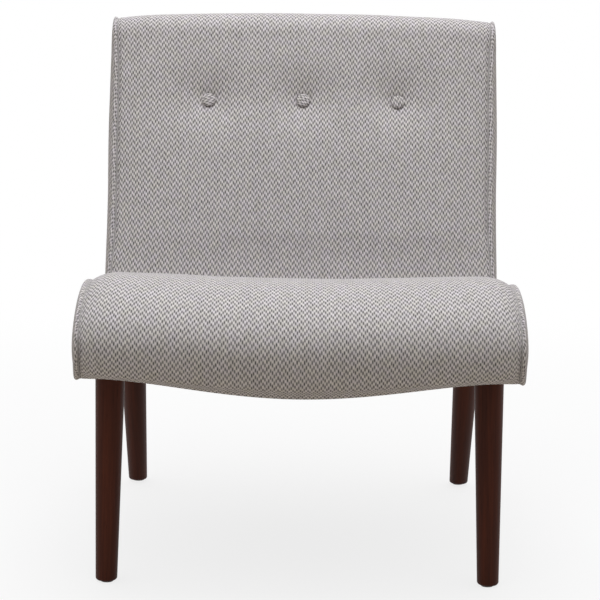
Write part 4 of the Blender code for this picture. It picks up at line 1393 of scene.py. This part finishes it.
@dataclass
class CoveredButton:
    """A button covered in the same cloth, seated on the drawn-in back."""

    pad: BackPad
    number: int
    rim: float = 0.0036
    dome: float = 0.0064
    lift: float = 0.0014
    base: float = 0.0002
    pleats: int = 13
    pleat_depth: float = 0.012
    pleat_place: Pair = (1.75, 0.35)
    squareness: float = 0.92
    tuck: float = 0.34
    mouth: float = 0.75
    rim_drop: float = 1.3
    turns: Pair = (-0.6, 0.8)
    stretch: float = 0.25
    segments: int = 48
    rings: int = 24

    def build(self) -> bpy.types.Object:
        """Model the button.

        Returns:
            The finished piece.
        """
        pad = self.pad
        outline = pad.outline
        Bench.clear()
        bpy.ops.mesh.primitive_uv_sphere_add(
            segments=self.segments, ring_count=self.rings, radius=1.0)
        piece = Bench.take(f"covered_button_{self.number}")
        ball = Bench.points(piece.data)
        polar = np.arccos(np.clip(ball[:, 2], -1, 1))
        around = np.arctan2(ball[:, 1], ball[:, 0])
        upper = polar < math.pi / 2
        under = np.clip(-ball[:, 2], 0, 1)
        sides = np.sin(polar) ** self.squareness
        out = np.where(upper, sides, 1 - self.tuck * np.cos(polar) ** 2)
        closing = np.sqrt(np.clip((1 - under) / (1 - self.mouth), 0, 1))
        out = np.where(under > self.mouth, out * closing, out)
        start, width = self.pleat_place
        gather = np.cos(around * self.pleats) * np.exp(-((polar - start) / width) ** 2)
        out = out * pad.button_radius * (1 - self.pleat_depth * gather)
        high = np.where(
            upper, self.rim + (self.dome - self.rim) * np.cos(polar),
            self.rim * (1 - np.clip(under * self.rim_drop, 0, 1)) - self.base * under,
        )
        places = np.stack((np.cos(around) * out, np.sin(around) * out, high), axis=1)
        turn, step = self.turns
        turned = np.array(Matrix.Rotation(turn - step * self.number, 2))
        stretch = (1 + self.stretch * polar / math.pi)[:, None]
        Bench.lay(piece.data, places, places[:, :2] * stretch @ turned)
        place = pad.button_xs[self.number - 1]
        swell = float(pad.swell_at(pad.button_up, place, 1.0))
        spot = outline.crease + outline.up_back * pad.button_up
        spot += Draft.left(outline.up_back) * (swell + self.lift)
        piece.rotation_euler = (math.pi / 2 - outline.recline, 0, 0)
        piece.location = (
            place * float(outline.widening(spot.y)), spot.x + outline.shift, spot.y)
        Bench.settle(piece)
        Bench.smooth(piece, SOFT_EDGE)
        return Bench.hand_over(piece, pad.cloth, Slot.WEAVE, f"button_{self.number}")


@dataclass
class SidePanel:
    """A swollen side panel of the same cloth, sewn in along the S-shaped outline."""

    outline: SideOutline
    cloth: bpy.types.Material
    side: Side
    stations: int = 200
    roll: float = 0.030
    square_roll: float = 0.011
    square_top_rise: Pair = (0.745, 0.04)
    square_foot_rise: Pair = (-0.345, 0.028)
    lip: float = 0.0018
    lip_width: float = 0.0012
    ridge: float = 2.9
    ridge_reach: float = 0.0056
    rim_fall: float = 0.0028
    fall_width: float = 0.0009
    fall_ends: int = 8
    hollow: float = 0.0004
    hollow_size: float = 0.06
    hollow_seed: float = 11.1
    weld: float = 0.00005
    spine: Pair = (0.085, 0.935)
    rings_mm: tuple[float, ...] = (0, 0.4, 0.9, 1.5, 2.2, 3.0, 4.0, 5.2, 6.8, 8.8, 11.5, 15.0)
    inner_rings: int = 6
    wall: float = 0.0015
    fill: float = 0.8

    def plan(self) -> tuple[np.ndarray, np.ndarray, np.ndarray]:
        """Draw the flat panel as rings from its rim to its spine.

        Returns:
            Rings by stations of (depth, height), the closed rim, and the outward headings.
        """
        inner, outer = (Draft.even(edge, self.stations + 1) for edge in self.outline.edges())
        run = np.linspace(0, 1, self.stations + 1)
        spine = Draft.pick((inner + outer) / 2, run, np.clip(run, *self.spine))
        rim = np.concatenate((inner, outer[-2::-1]))
        spine = np.concatenate((spine, spine[-2::-1]))
        reach = np.linalg.norm(rim - spine, axis=1)
        near = np.array(self.rings_mm)[:, None] / 1000 / reach
        steps = np.linspace(0, 1, self.inner_rings + 1)[1:, None]
        share = np.concatenate((near, near[-1] + (1 - near[-1]) * steps))[..., None]
        return rim * (1 - share) + spine * share, rim, (rim - spine) / reach[:, None]

    def build(self) -> bpy.types.Object:
        """Model the panel.

        Returns:
            The finished piece.
        """
        outline = self.outline
        points, rim, heading = self.plan()
        away, nearest = self.rim_distance(points, rim[:-1])
        height = points[..., 1]
        square = Draft.ramp(height, *self.square_top_rise)
        square = square + Draft.ramp(-height, *self.square_foot_rise)
        roll = self.roll + (self.square_roll - self.roll) * square
        rise = np.clip(away / roll, 0, 1)
        base = (outline.seam_half + outline.skin) * outline.widening(height)
        puff = outline.half_width * outline.flaring(height) - base - self.lip
        x = base + self.lip * (1 - np.exp(-away / self.lip_width)) + puff * (1 - (1 - rise) ** 2)
        uneven = Pad.unevenness(points[..., 0], height, self.hollow_size, self.hollow_seed)
        x = x - rise * rise * self.hollow * (1 + uneven)
        pull = self.ridge * np.exp(-away / self.ridge_reach)
        station = np.arange(rim.shape[0])
        fall = Draft.ramp(station, 0, self.fall_ends)
        fall = fall * Draft.ramp(self.stations - station, 0, self.fall_ends)
        fall = fall * outline.seam_depth(rim[:, 1]) * self.rim_fall
        fall = fall * np.exp(-away / self.fall_width)
        swollen = points + (nearest - points) * pull[..., None] - heading * fall[..., None]
        sign = self.side.value
        places = np.stack((sign * x, swollen[..., 0] + outline.shift, swollen[..., 1]), axis=2)
        longer = np.linalg.norm(np.diff(places, axis=0), axis=2)
        longer = longer - np.linalg.norm(np.diff(points, axis=0), axis=2)
        extra = np.zeros(away.shape)
        extra[:-1] = np.cumsum(longer[::-1], axis=0)[::-1]
        piece = Bench.mould(
            f"side_panel_{self.side.word}", places, points + heading * extra[..., None])
        Bench.edit(piece)
        bpy.ops.mesh.remove_doubles(threshold=self.weld)
        bpy.ops.mesh.normals_make_consistent(inside=False)
        bpy.ops.object.mode_set(mode="OBJECT")
        if sum(face.normal.x * face.area for face in piece.data.polygons) * sign < 0:
            Bench.flip(piece)
        Bench.thicken(piece, self.wall)
        nodes = [f"side_{layer}_{self.side.word}" for layer in ("cover", "pad")]
        return Bench.hand_over(piece, self.cloth, Slot.WEAVE, *nodes)

    @staticmethod
    def rim_distance(points: np.ndarray, rim: np.ndarray) -> tuple[np.ndarray, np.ndarray]:
        """Shortest distance from each point to a closed line, and the nearest place on it.

        Args:
            points: Array of points, the last axis (depth, height).
            rim: Points of the closed line.

        Returns:
            The distances and the nearest places.
        """
        best = np.full(points.shape[:-1], np.inf)
        nearest = points.copy()
        for first, along in zip(rim, np.roll(rim, -1, axis=0) - rim):
            share = np.clip(((points - first) @ along) / max(along @ along, 1e-14), 0, 1)
            spot = first + share[..., None] * along
            away = np.linalg.norm(points - spot, axis=-1)
            closer = away < best
            best = np.where(closer, away, best)
            nearest = np.where(closer[..., None], spot, nearest)
        return best, nearest


@dataclass
class SideSeam:
    """The sewn seam round a side panel: a sunk bead of folded cloth and its top stitching."""

    outline: SideOutline
    # Finish of the bead, darker than the cloth: painted shade in the sunk seam.
    fold: bpy.types.Material
    # Finish of the stitches: a grey thread, darkened further as painted shade of the stitch holes.
    thread: bpy.types.Material
    side: Side
    pads: tuple[Pad, ...]
    stations: int = 260
    fall_ends: int = 10
    bead: float = 0.0013
    sink: float = 0.0012
    front_sink: float = 0.0034
    stitch_pitch: float = 0.0046
    stitch_length: float = 0.0034
    stitch_radius: float = 0.00038
    stitch_sag: float = 1.2
    stitch_sides: int = 6
    bare_ends: tuple[int, int] = (6, 2)

    def build(self) -> list[bpy.types.Object]:
        """Model the bead and the stitches.

        Returns:
            The finished pieces.
        """
        return [self.build_bead(), self.build_stitches()]

    def build_bead(self) -> bpy.types.Object:
        """Model the folded cloth that closes the seam, in a darker finish that paints its shade.

        Returns:
            The finished piece.
        """
        outline = self.outline
        inner, outer = (Draft.even(edge, self.stations) for edge in outline.edges())
        rim = np.concatenate((inner, outer[-2:0:-1]))
        along = np.roll(rim, -1, axis=0) - np.roll(rim, 1, axis=0)
        along /= np.linalg.norm(along, axis=1, keepdims=True)
        inward = np.stack((along[:, 1], -along[:, 0]), axis=1)
        station = np.arange(len(rim))
        upper = Draft.ramp(station, 0, self.fall_ends)
        upper = upper * Draft.ramp(self.stations - station, 0, self.fall_ends)
        upper = upper * outline.seam_depth(rim[:, 1])
        line = rim + inward * (self.sink + (self.front_sink - self.sink) * upper)[:, None]
        x = self.side.value * (outline.seam_half + outline.skin / 2)
        name = f"seam_{self.side.word}"
        data = bpy.data.curves.new(name, "CURVE")
        data.dimensions = "3D"
        data.bevel_depth = self.bead
        data.bevel_resolution = 2
        spline = data.splines.new("POLY")
        spline.points.add(len(line) - 1)
        for point, (depth, height) in zip(spline.points, line):
            point.co = (x * outline.widening(height), depth + outline.shift, height, 1)
        spline.use_cyclic_u = True
        curve = bpy.data.objects.new(name, data)
        bpy.context.scene.collection.objects.link(curve)
        Bench.hold(curve)
        bpy.ops.object.convert(target="MESH")
        piece = Bench.take(name)
        places = Bench.points(piece.data)
        Bench.lay(piece.data, places, places[:, 1:])
        Bench.smooth(piece, SOFT_EDGE)
        # The bead's darker finish is painted shade in the sunk seam.
        return Bench.hand_over(piece, self.fold, Slot.WEAVE)

    def build_stitches(self) -> bpy.types.Object:
        """Model the top stitching on the seat and the inside back.

        Returns:
            The finished piece.
        """
        Bench.clear()
        bpy.ops.mesh.primitive_cylinder_add(
            vertices=self.stitch_sides, radius=self.stitch_radius, depth=self.stitch_length,
            end_fill_type="TRIFAN", rotation=(math.pi / 2, 0, 0),
        )
        first = Bench.take("stitch")
        Bench.settle(first)
        Bench.edit(first)
        bpy.ops.mesh.subdivide(number_cuts=1)
        bpy.ops.object.mode_set(mode="OBJECT")
        for vert in first.data.vertices:
            along = abs(vert.co.y) / (self.stitch_length / 2)
            vert.co.z -= self.stitch_radius * self.stitch_sag * along ** 2
        spots = []
        first_row, last_rows = self.bare_ends
        for pad in self.pads:
            line = pad.stitched_line(self.side)[first_row:-last_rows]
            run = Draft.reach(line)
            half = self.stitch_pitch / 2
            places = Draft.pick(line, run, np.arange(half, run[-1], half))
            for before, place, after in zip(places[0::2], places[1::2], places[2::2]):
                _, back, up = after - before
                spots.append((place, (math.atan2(up, back), 0, 0)))
        piece = Bench.scatter(f"top_stitch_{self.side.word}", first, spots)
        Bench.smooth(piece, SOFT_EDGE)
        # The thread's dark finish is partly its own grey and partly painted shade of the stitch
        # holes.
        return Bench.hand_over(piece, self.thread, Slot.WEAVE)


@dataclass
class RearPanel:
    """Outside back: one taut piece of the cloth from the top edge round to the underside."""

    outline: SideOutline
    cloth: bpy.types.Material
    rows: int = 110
    columns: int = 100
    wall: float = 0.0014
    inset: float = 0.0005
    hollow: float = 0.0012
    hollow_size: float = 0.12
    hollow_seed: float = 4.4
    flat_edge: float = 0.03

    def build(self) -> bpy.types.Object:
        """Model the panel.

        Returns:
            The finished piece.
        """
        path = Draft.even(self.outline.rear_path(), self.rows + 1)
        half = self.outline.seam_half - self.inset
        x = np.linspace(-half, half, self.columns + 1)
        run = np.linspace(0, 1, self.rows + 1)
        a, b = np.meshgrid(x, run * 0.5)
        edge = np.minimum(1, (half - np.abs(x)) / self.flat_edge) * np.sin(run * math.pi)[:, None]
        uneven = Pad.unevenness(a, b, self.hollow_size, self.hollow_seed)
        swell = self.hollow * edge * (uneven - 1)
        length = float(Draft.reach(path)[-1])
        flat = np.stack(np.broadcast_arrays(x, (run * length)[:, None]), axis=2)
        piece = Bench.mould("rear_panel", self.outline.place(path, x, swell), flat)
        Bench.thicken(piece, self.wall)
        return Bench.hand_over(piece, self.cloth, Slot.WEAVE, "outside_back_cover")


@dataclass
class Underside:
    """Dust cloth under the seat, with the staples that hold it."""

    outline: SideOutline
    lining: bpy.types.Material
    steel: bpy.types.Material
    columns: int = 90
    rows: int = 80
    sag: float = 0.004
    hollow_size: float = 0.09
    hollow_seed: float = 5.0
    hollow_share: float = 0.3
    lap: float = 0.0045
    side_lap: float = 0.0012
    below: float = 0.0024
    bow: float = 0.026
    bow_half: float = 0.279
    bow_back: float = 0.09
    wall: float = 0.0008
    leg_spots: tuple[Pair, ...] = ((0.274, -0.233), (0.279, 0.202))
    leg_clear: float = 0.03
    leg_fade: float = 0.10
    staple_pitch: float = 0.030
    staple_length: float = 0.010
    staple_wire: float = 0.0007
    staple_inset: float = 0.008
    staple_end: float = 0.03
    staple_wobble: float = 0.09
    wobble_step: float = 2.7
    staple_sunk: float = 0.4
    low: Vector = field(init=False)
    high: Vector = field(init=False)

    def __post_init__(self) -> None:
        """Measure the solid that the cloth stands for."""
        self.low, self.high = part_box("dust_cover")

    def build(self) -> list[bpy.types.Object]:
        """Model the cloth and its staples.

        Returns:
            The finished pieces.
        """
        low, high = self.low, self.high
        x = np.linspace(low.x - self.side_lap, high.x + self.side_lap, self.columns + 1)
        y = np.linspace(low.y - self.lap, high.y, self.rows + 1)
        across, along = np.meshgrid(x, y)
        share = np.sin(np.clip((across - low.x) / (high.x - low.x), 0, 1) * math.pi)
        share = share * np.sin(np.clip((along - low.y) / (high.y - low.y), 0, 1) * math.pi)
        for leg_x, leg_y in self.leg_spots:
            away = np.hypot(np.abs(across) - leg_x, along - leg_y)
            share = share * np.clip((away - self.leg_clear) / self.leg_fade, 0, 1)
        uneven = Pad.unevenness(across, along, self.hollow_size, self.hollow_seed)
        drop = self.sag * share * (1 + self.hollow_share * uneven)
        height = self.hang(across, along) - drop
        places = np.stack((across, along, height), axis=2)
        sheet = Bench.mould("dust_sheet", places, places[..., :2])
        Bench.flip(sheet)
        Bench.thicken(sheet, self.wall)
        Bench.hand_over(sheet, self.lining, Slot.LINING, "dust_cover")
        return [sheet, self.build_staples()]

    def hang(self, x: np.ndarray, y: np.ndarray) -> np.ndarray:
        """Height of the taut cloth, which is drawn down under the bowed front rail.

        Args:
            x: Places across.
            y: Places along.

        Returns:
            The heights.
        """
        back = y - self.low.y
        behind = Draft.ramp(1 - back / self.bow_back)
        level = self.high.z - self.below - back * math.tan(self.outline.underside_pitch)
        return level - self.bow * Draft.dome(x, self.bow_half) * behind

    def build_staples(self) -> bpy.types.Object:
        """Model the row of staples round the cloth.

        Returns:
            The finished piece.
        """
        low, high, inset, end = self.low, self.high, self.staple_inset, self.staple_end
        Bench.clear()
        bpy.ops.mesh.primitive_cube_add(size=1.0)
        bpy.ops.transform.resize(value=(self.staple_length, self.staple_wire, self.staple_wire))
        first = Bench.take("staple")
        Bench.settle(first)
        Bench.edit(first)
        bpy.ops.mesh.bevel(offset=self.staple_wire / 4, segments=1, affect="EDGES")
        bpy.ops.object.mode_set(mode="OBJECT")
        across = np.arange(low.x + end, high.x - end, self.staple_pitch)
        along = np.arange(low.y + end, high.y - end, self.staple_pitch)
        rows = [(x, y, 0) for y in (low.y + inset, high.y - inset) for x in across]
        rows += [(x, y, math.pi / 2) for x in (low.x + inset, high.x - inset) for y in along]
        spots = []
        for index, (x, y, turned) in enumerate(rows):
            turned += self.staple_wobble * math.sin(index * self.wobble_step)
            height = float(self.hang(x, y)) - self.staple_wire * self.staple_sunk
            spots.append(((x, y, height), (0, 0, turned)))
        return Bench.hand_over(Bench.scatter("staples", first, spots), self.steel, Slot.STEEL)


@dataclass(frozen=True)
class LegShape:
    """Sizes of the front or the rear pair of legs."""

    word: str
    foot_back: float
    top_back: float
    foot_radius: float
    top_radius: float
    splay: float
    grain: float


LEG_SHAPES = (
    LegShape("front", 0.105, 0.127, 0.0158, 0.0217, math.radians(0.85), 1.7),
    LegShape("rear", 0.688, 0.562, 0.0157, 0.0225, 0.0, 5.3),
)


@dataclass
class TurnedLeg:
    """One tapered leg with a rounded foot, cut to the slope of the underside."""

    outline: SideOutline
    wood: bpy.types.Material
    side: Side
    shape: LegShape
    track_half: float = 0.2800
    foot_round: float = 0.004
    glide: float = 0.0023
    glide_reach: float = 0.0002
    seat_gap: float = 0.0003
    grain_step: Pair = (3.1, 0.9)
    sides: int = 64
    round_steps: int = 6

    def build(self) -> bpy.types.Object:
        """Model the leg.

        Returns:
            The finished piece.
        """
        outline, shape, sign = self.outline, self.shape, self.side.value
        name = f"leg_{shape.word}_{self.side.word}"
        square = Draft.left(outline.under)
        up = Draft.heading(math.pi / 2)
        edge = outline.edge + square * self.seat_gap
        top = Draft.meet(edge, outline.under, Vector((shape.top_back, 0)), up)
        head_x = self.track_half - top.y * math.tan(shape.splay)
        foot = Vector((sign * self.track_half, shape.foot_back + outline.shift, 0))
        head = Vector((sign * head_x, top.x + outline.shift, top.y))
        length = (head - foot).length
        over = shape.top_radius
        more = (shape.top_radius - shape.foot_radius) / length * over
        Bench.clear()
        bpy.ops.mesh.primitive_cone_add(
            vertices=self.sides, radius1=shape.foot_radius - more,
            radius2=shape.top_radius + more, depth=length + 2 * over,
            end_fill_type="NGON", location=(0, 0, length / 2),
        )
        piece = Bench.take(name + "_turned")
        Bench.settle(piece)
        turn = Vector((0, 0, 1)).rotation_difference((head - foot).normalized())
        piece.rotation_mode = "QUATERNION"
        piece.rotation_quaternion = turn
        piece.location = foot
        Bench.settle(piece)
        Bench.edit(piece)
        bpy.ops.mesh.bisect(
            plane_co=(0, 0, self.glide), plane_no=(0, 0, 1), use_fill=True, clear_inner=True
        )
        bpy.ops.mesh.select_all(action="SELECT")
        bpy.ops.mesh.bisect(
            plane_co=tuple(head), plane_no=(0, square.x, square.y), use_fill=True, clear_outer=True
        )
        bpy.ops.mesh.select_all(action="DESELECT")
        bpy.ops.object.mode_set(mode="OBJECT")
        heights = Bench.points(piece.data)[:, 2]
        for line in piece.data.edges:
            line.select = all(
                abs(heights[end] - self.glide) < self.glide_reach for end in line.vertices)
        bpy.ops.object.mode_set(mode="EDIT")
        bpy.ops.mesh.select_mode(type="EDGE")
        bpy.ops.mesh.bevel(
            offset=self.foot_round, segments=self.round_steps, profile=0.5, affect="EDGES")
        bpy.ops.object.mode_set(mode="OBJECT")
        stored = piece.data.attributes.new(LEG_PLACE, "FLOAT_VECTOR", "POINT")
        across, along = self.grain_step
        seed = Vector((across * sign, shape.grain, along * sign))
        for spot, vert in zip(stored.data, piece.data.vertices):
            spot.vector = turn.inverted() @ (vert.co - foot) + seed
        Bench.smooth(piece, LEG_EDGE)
        return Bench.hand_over(piece, self.wood, Slot.LEG_WOOD, name)


@dataclass(frozen=True)
class Studio:
    """Pale floor, soft light and the camera of the picture."""

    camera_place: Colour = (-0.001, -3.150, 0.917)
    camera_pitch: float = math.radians(9.7)
    camera_roll: float = math.radians(0.74)
    lens: float = 123.0
    sensor: float = 36.0
    top_lamp: tuple = ((0, -0.05, 2.4), (0, -0.02, 0.4), (1.2, 1.4))
    top_power: float = 14.5
    top_colour: Colour = (0.975, 0.985, 1.04)
    front_lamp: tuple = ((0, -3.6, 1.5), (0, 0, 0.5), (2.2, 1.5))
    front_power: float = 1.5
    sky: float = 1.50
    floor_tone: Colour = (0.50, 0.45, 0.385)
    floor_white: float = 0.92
    floor_rough: float = 0.9
    floor_glow: float = 0.80
    glow_edges: Pair = (0.7, 2.2)
    floor_reach: float = 12.0

    def set_camera(self) -> None:
        """Place the camera at the photograph's angle."""
        data = bpy.data.cameras.new("camera")
        data.lens = self.lens
        data.sensor_width = self.sensor
        camera = bpy.data.objects.new("camera", data)
        bpy.context.scene.collection.objects.link(camera)
        tilt = Matrix.Rotation(math.pi / 2 - self.camera_pitch, 4, "X")
        roll = Matrix.Rotation(self.camera_roll, 4, "Z")
        camera.matrix_world = Matrix.Translation(self.camera_place) @ tilt @ roll
        bpy.context.scene.camera = camera

    @staticmethod
    def lamp(
        name: str, place: tuple, aim: tuple, size: Pair, power: float, colour: Colour = WHITE
    ) -> None:
        """Hang one soft lamp.

        Args:
            name: Name of the lamp.
            place: Its position.
            aim: The point that it faces.
            size: Width and height.
            power: Power in watts.
            colour: Colour of its light.
        """
        data = bpy.data.lights.new(name, "AREA")
        data.shape = "RECTANGLE"
        data.size, data.size_y = size
        data.energy = power
        data.color = colour
        lamp = bpy.data.objects.new(name, data)
        lamp.location = place
        facing = Vector(aim) - Vector(place)
        lamp.rotation_euler = facing.to_track_quat("-Z", "Y").to_euler()
        bpy.context.scene.collection.objects.link(lamp)

    def set_sky(self) -> None:
        """Soft light, strongest from straight above, and white to the camera."""
        board = Board(bpy.data.worlds.new("sky"))
        _, _, up = board.parts(board.add("TexCoord", {}, {}, "Generated"))
        height = up.most(0.0)
        soft = board.add(
            "Background", {}, {"Color": WHITE, "Strength": height * height * self.sky})
        white = board.add("Background", {}, {"Color": WHITE})
        board.plug(
            board.nodes["World Output"].inputs[0], board.blend(board.shown(), soft, white))
        bpy.context.scene.world = board.holder

    def lay_floor(self) -> None:
        """Lay the pale floor, which runs out into the white and is open from below."""
        Bench.clear()
        bpy.ops.mesh.primitive_plane_add(size=2 * self.floor_reach)
        floor = Bench.take("pale_floor")
        board = Board.new("pale_floor")
        seen = board.shown()
        floor.data.materials.append(
            board.done(
                board.mix(seen, self.floor_tone, (self.floor_white,) * 3), self.floor_rough))
        x, y, _ = board.parts(board.on_object())
        glow = (x * x + y * y).root().rise(*self.glow_edges, self.floor_glow, 1.0)
        matt = Wire(board, board.shader.outputs[0])
        pale = board.blend(seen * glow, matt, board.add("Emission", {}, {"Color": WHITE}))
        behind = board.add("NewGeometry", {}, {}, "Backfacing")
        clear = board.add("BsdfTransparent", {}, {})
        board.plug(
            board.nodes["Material Output"].inputs[0], board.blend(behind, pale, clear))

    def build(self) -> None:
        """Set up the whole studio."""
        self.set_camera()
        self.set_sky()
        self.lamp("top_lamp", *self.top_lamp, self.top_power, self.top_colour)
        self.lamp("front_lamp", *self.front_lamp, self.front_power)
        self.lay_floor()
        bpy.context.scene.view_settings.view_transform = "Standard"


@dataclass
class HiddenFrame:
    """Finishes of the solids that stay as they are."""

    finishes: dict[Slot, bpy.types.Material]

    def dress(self) -> None:
        """Give each solid the finish of its slot."""
        for node in frame["record"]["subparts"]:
            solid = frame["nodes"][node["node"]]
            finish = self.finishes[Slot(node["material_slot"])]
            if not solid.material_slots:
                solid.data.materials.append(finish)
            for place in solid.material_slots:
                place.material = finish


def main() -> None:
    """Build, dress and light the chair."""
    logging.basicConfig(level=logging.INFO, format="%(name)s: %(message)s")
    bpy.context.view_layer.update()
    cloth = OvalWeave().paint()
    wood = EspressoWood().paint()
    lining = DustCloth().paint()
    steel = DrawnSteel().paint()
    # Stitch thread: partly its own grey, partly darkened as painted shade of the stitch holes.
    thread = Moulded("grey_thread", (0.17, 0.16, 0.155), (0.12, 0.115, 0.11), 0.8).paint()
    # Seam bead finish, darker than the cloth: painted shade in the sunk seam.
    fold = Moulded("seam_fold", (0.44, 0.425, 0.415), (0.36, 0.345, 0.335), 0.9).paint()
    inner = {
        Slot.PLY: RawTimber(
            "birch_ply", TimberCut.PLY, (0.66, 0.50, 0.32), (0.52, 0.36, 0.20)),
        Slot.FRAME_WOOD: RawTimber(
            "raw_hardwood", TimberCut.RAIL, (0.56, 0.38, 0.22), (0.42, 0.26, 0.14)),
        Slot.FOAM: SoftStuff(
            "seat_foam", (0.84, 0.79, 0.62), (0.74, 0.67, 0.46), 900.0, 0.0006),
        Slot.FELT: SoftStuff(
            "needled_felt", (0.42, 0.41, 0.39), (0.24, 0.23, 0.22), 500.0, 0.0005),
        Slot.WEBBING: SoftStuff(
            "elastic_webbing", (0.07, 0.07, 0.075), (0.03, 0.03, 0.033), 700.0, 0.0004),
        Slot.NYLON: Moulded(
            "brown_nylon", (0.04, 0.033, 0.028), (0.09, 0.08, 0.07), 0.42),
    }
    finishes = {slot: finish.paint() for slot, finish in inner.items()}
    finishes.update({
        Slot.WEAVE: cloth, Slot.LEG_WOOD: wood, Slot.STEEL: steel, Slot.LINING: lining})
    HiddenFrame(finishes).dress()
    outline = SideOutline()
    seat, back = SeatPad(outline, cloth), BackPad(outline, cloth)
    seat.build()
    back.build()
    for number in range(1, len(back.button_xs) + 1):
        CoveredButton(back, number).build()
    for side in Side:
        SidePanel(outline, cloth, side).build()
        SideSeam(outline, fold, thread, side, (seat, back)).build()
        for shape in LEG_SHAPES:
            TurnedLeg(outline, wood, side, shape).build()
    RearPanel(outline, cloth).build()
    Underside(outline, lining, steel).build()
    Studio().build()


if __name__ == "__main__":
    main()
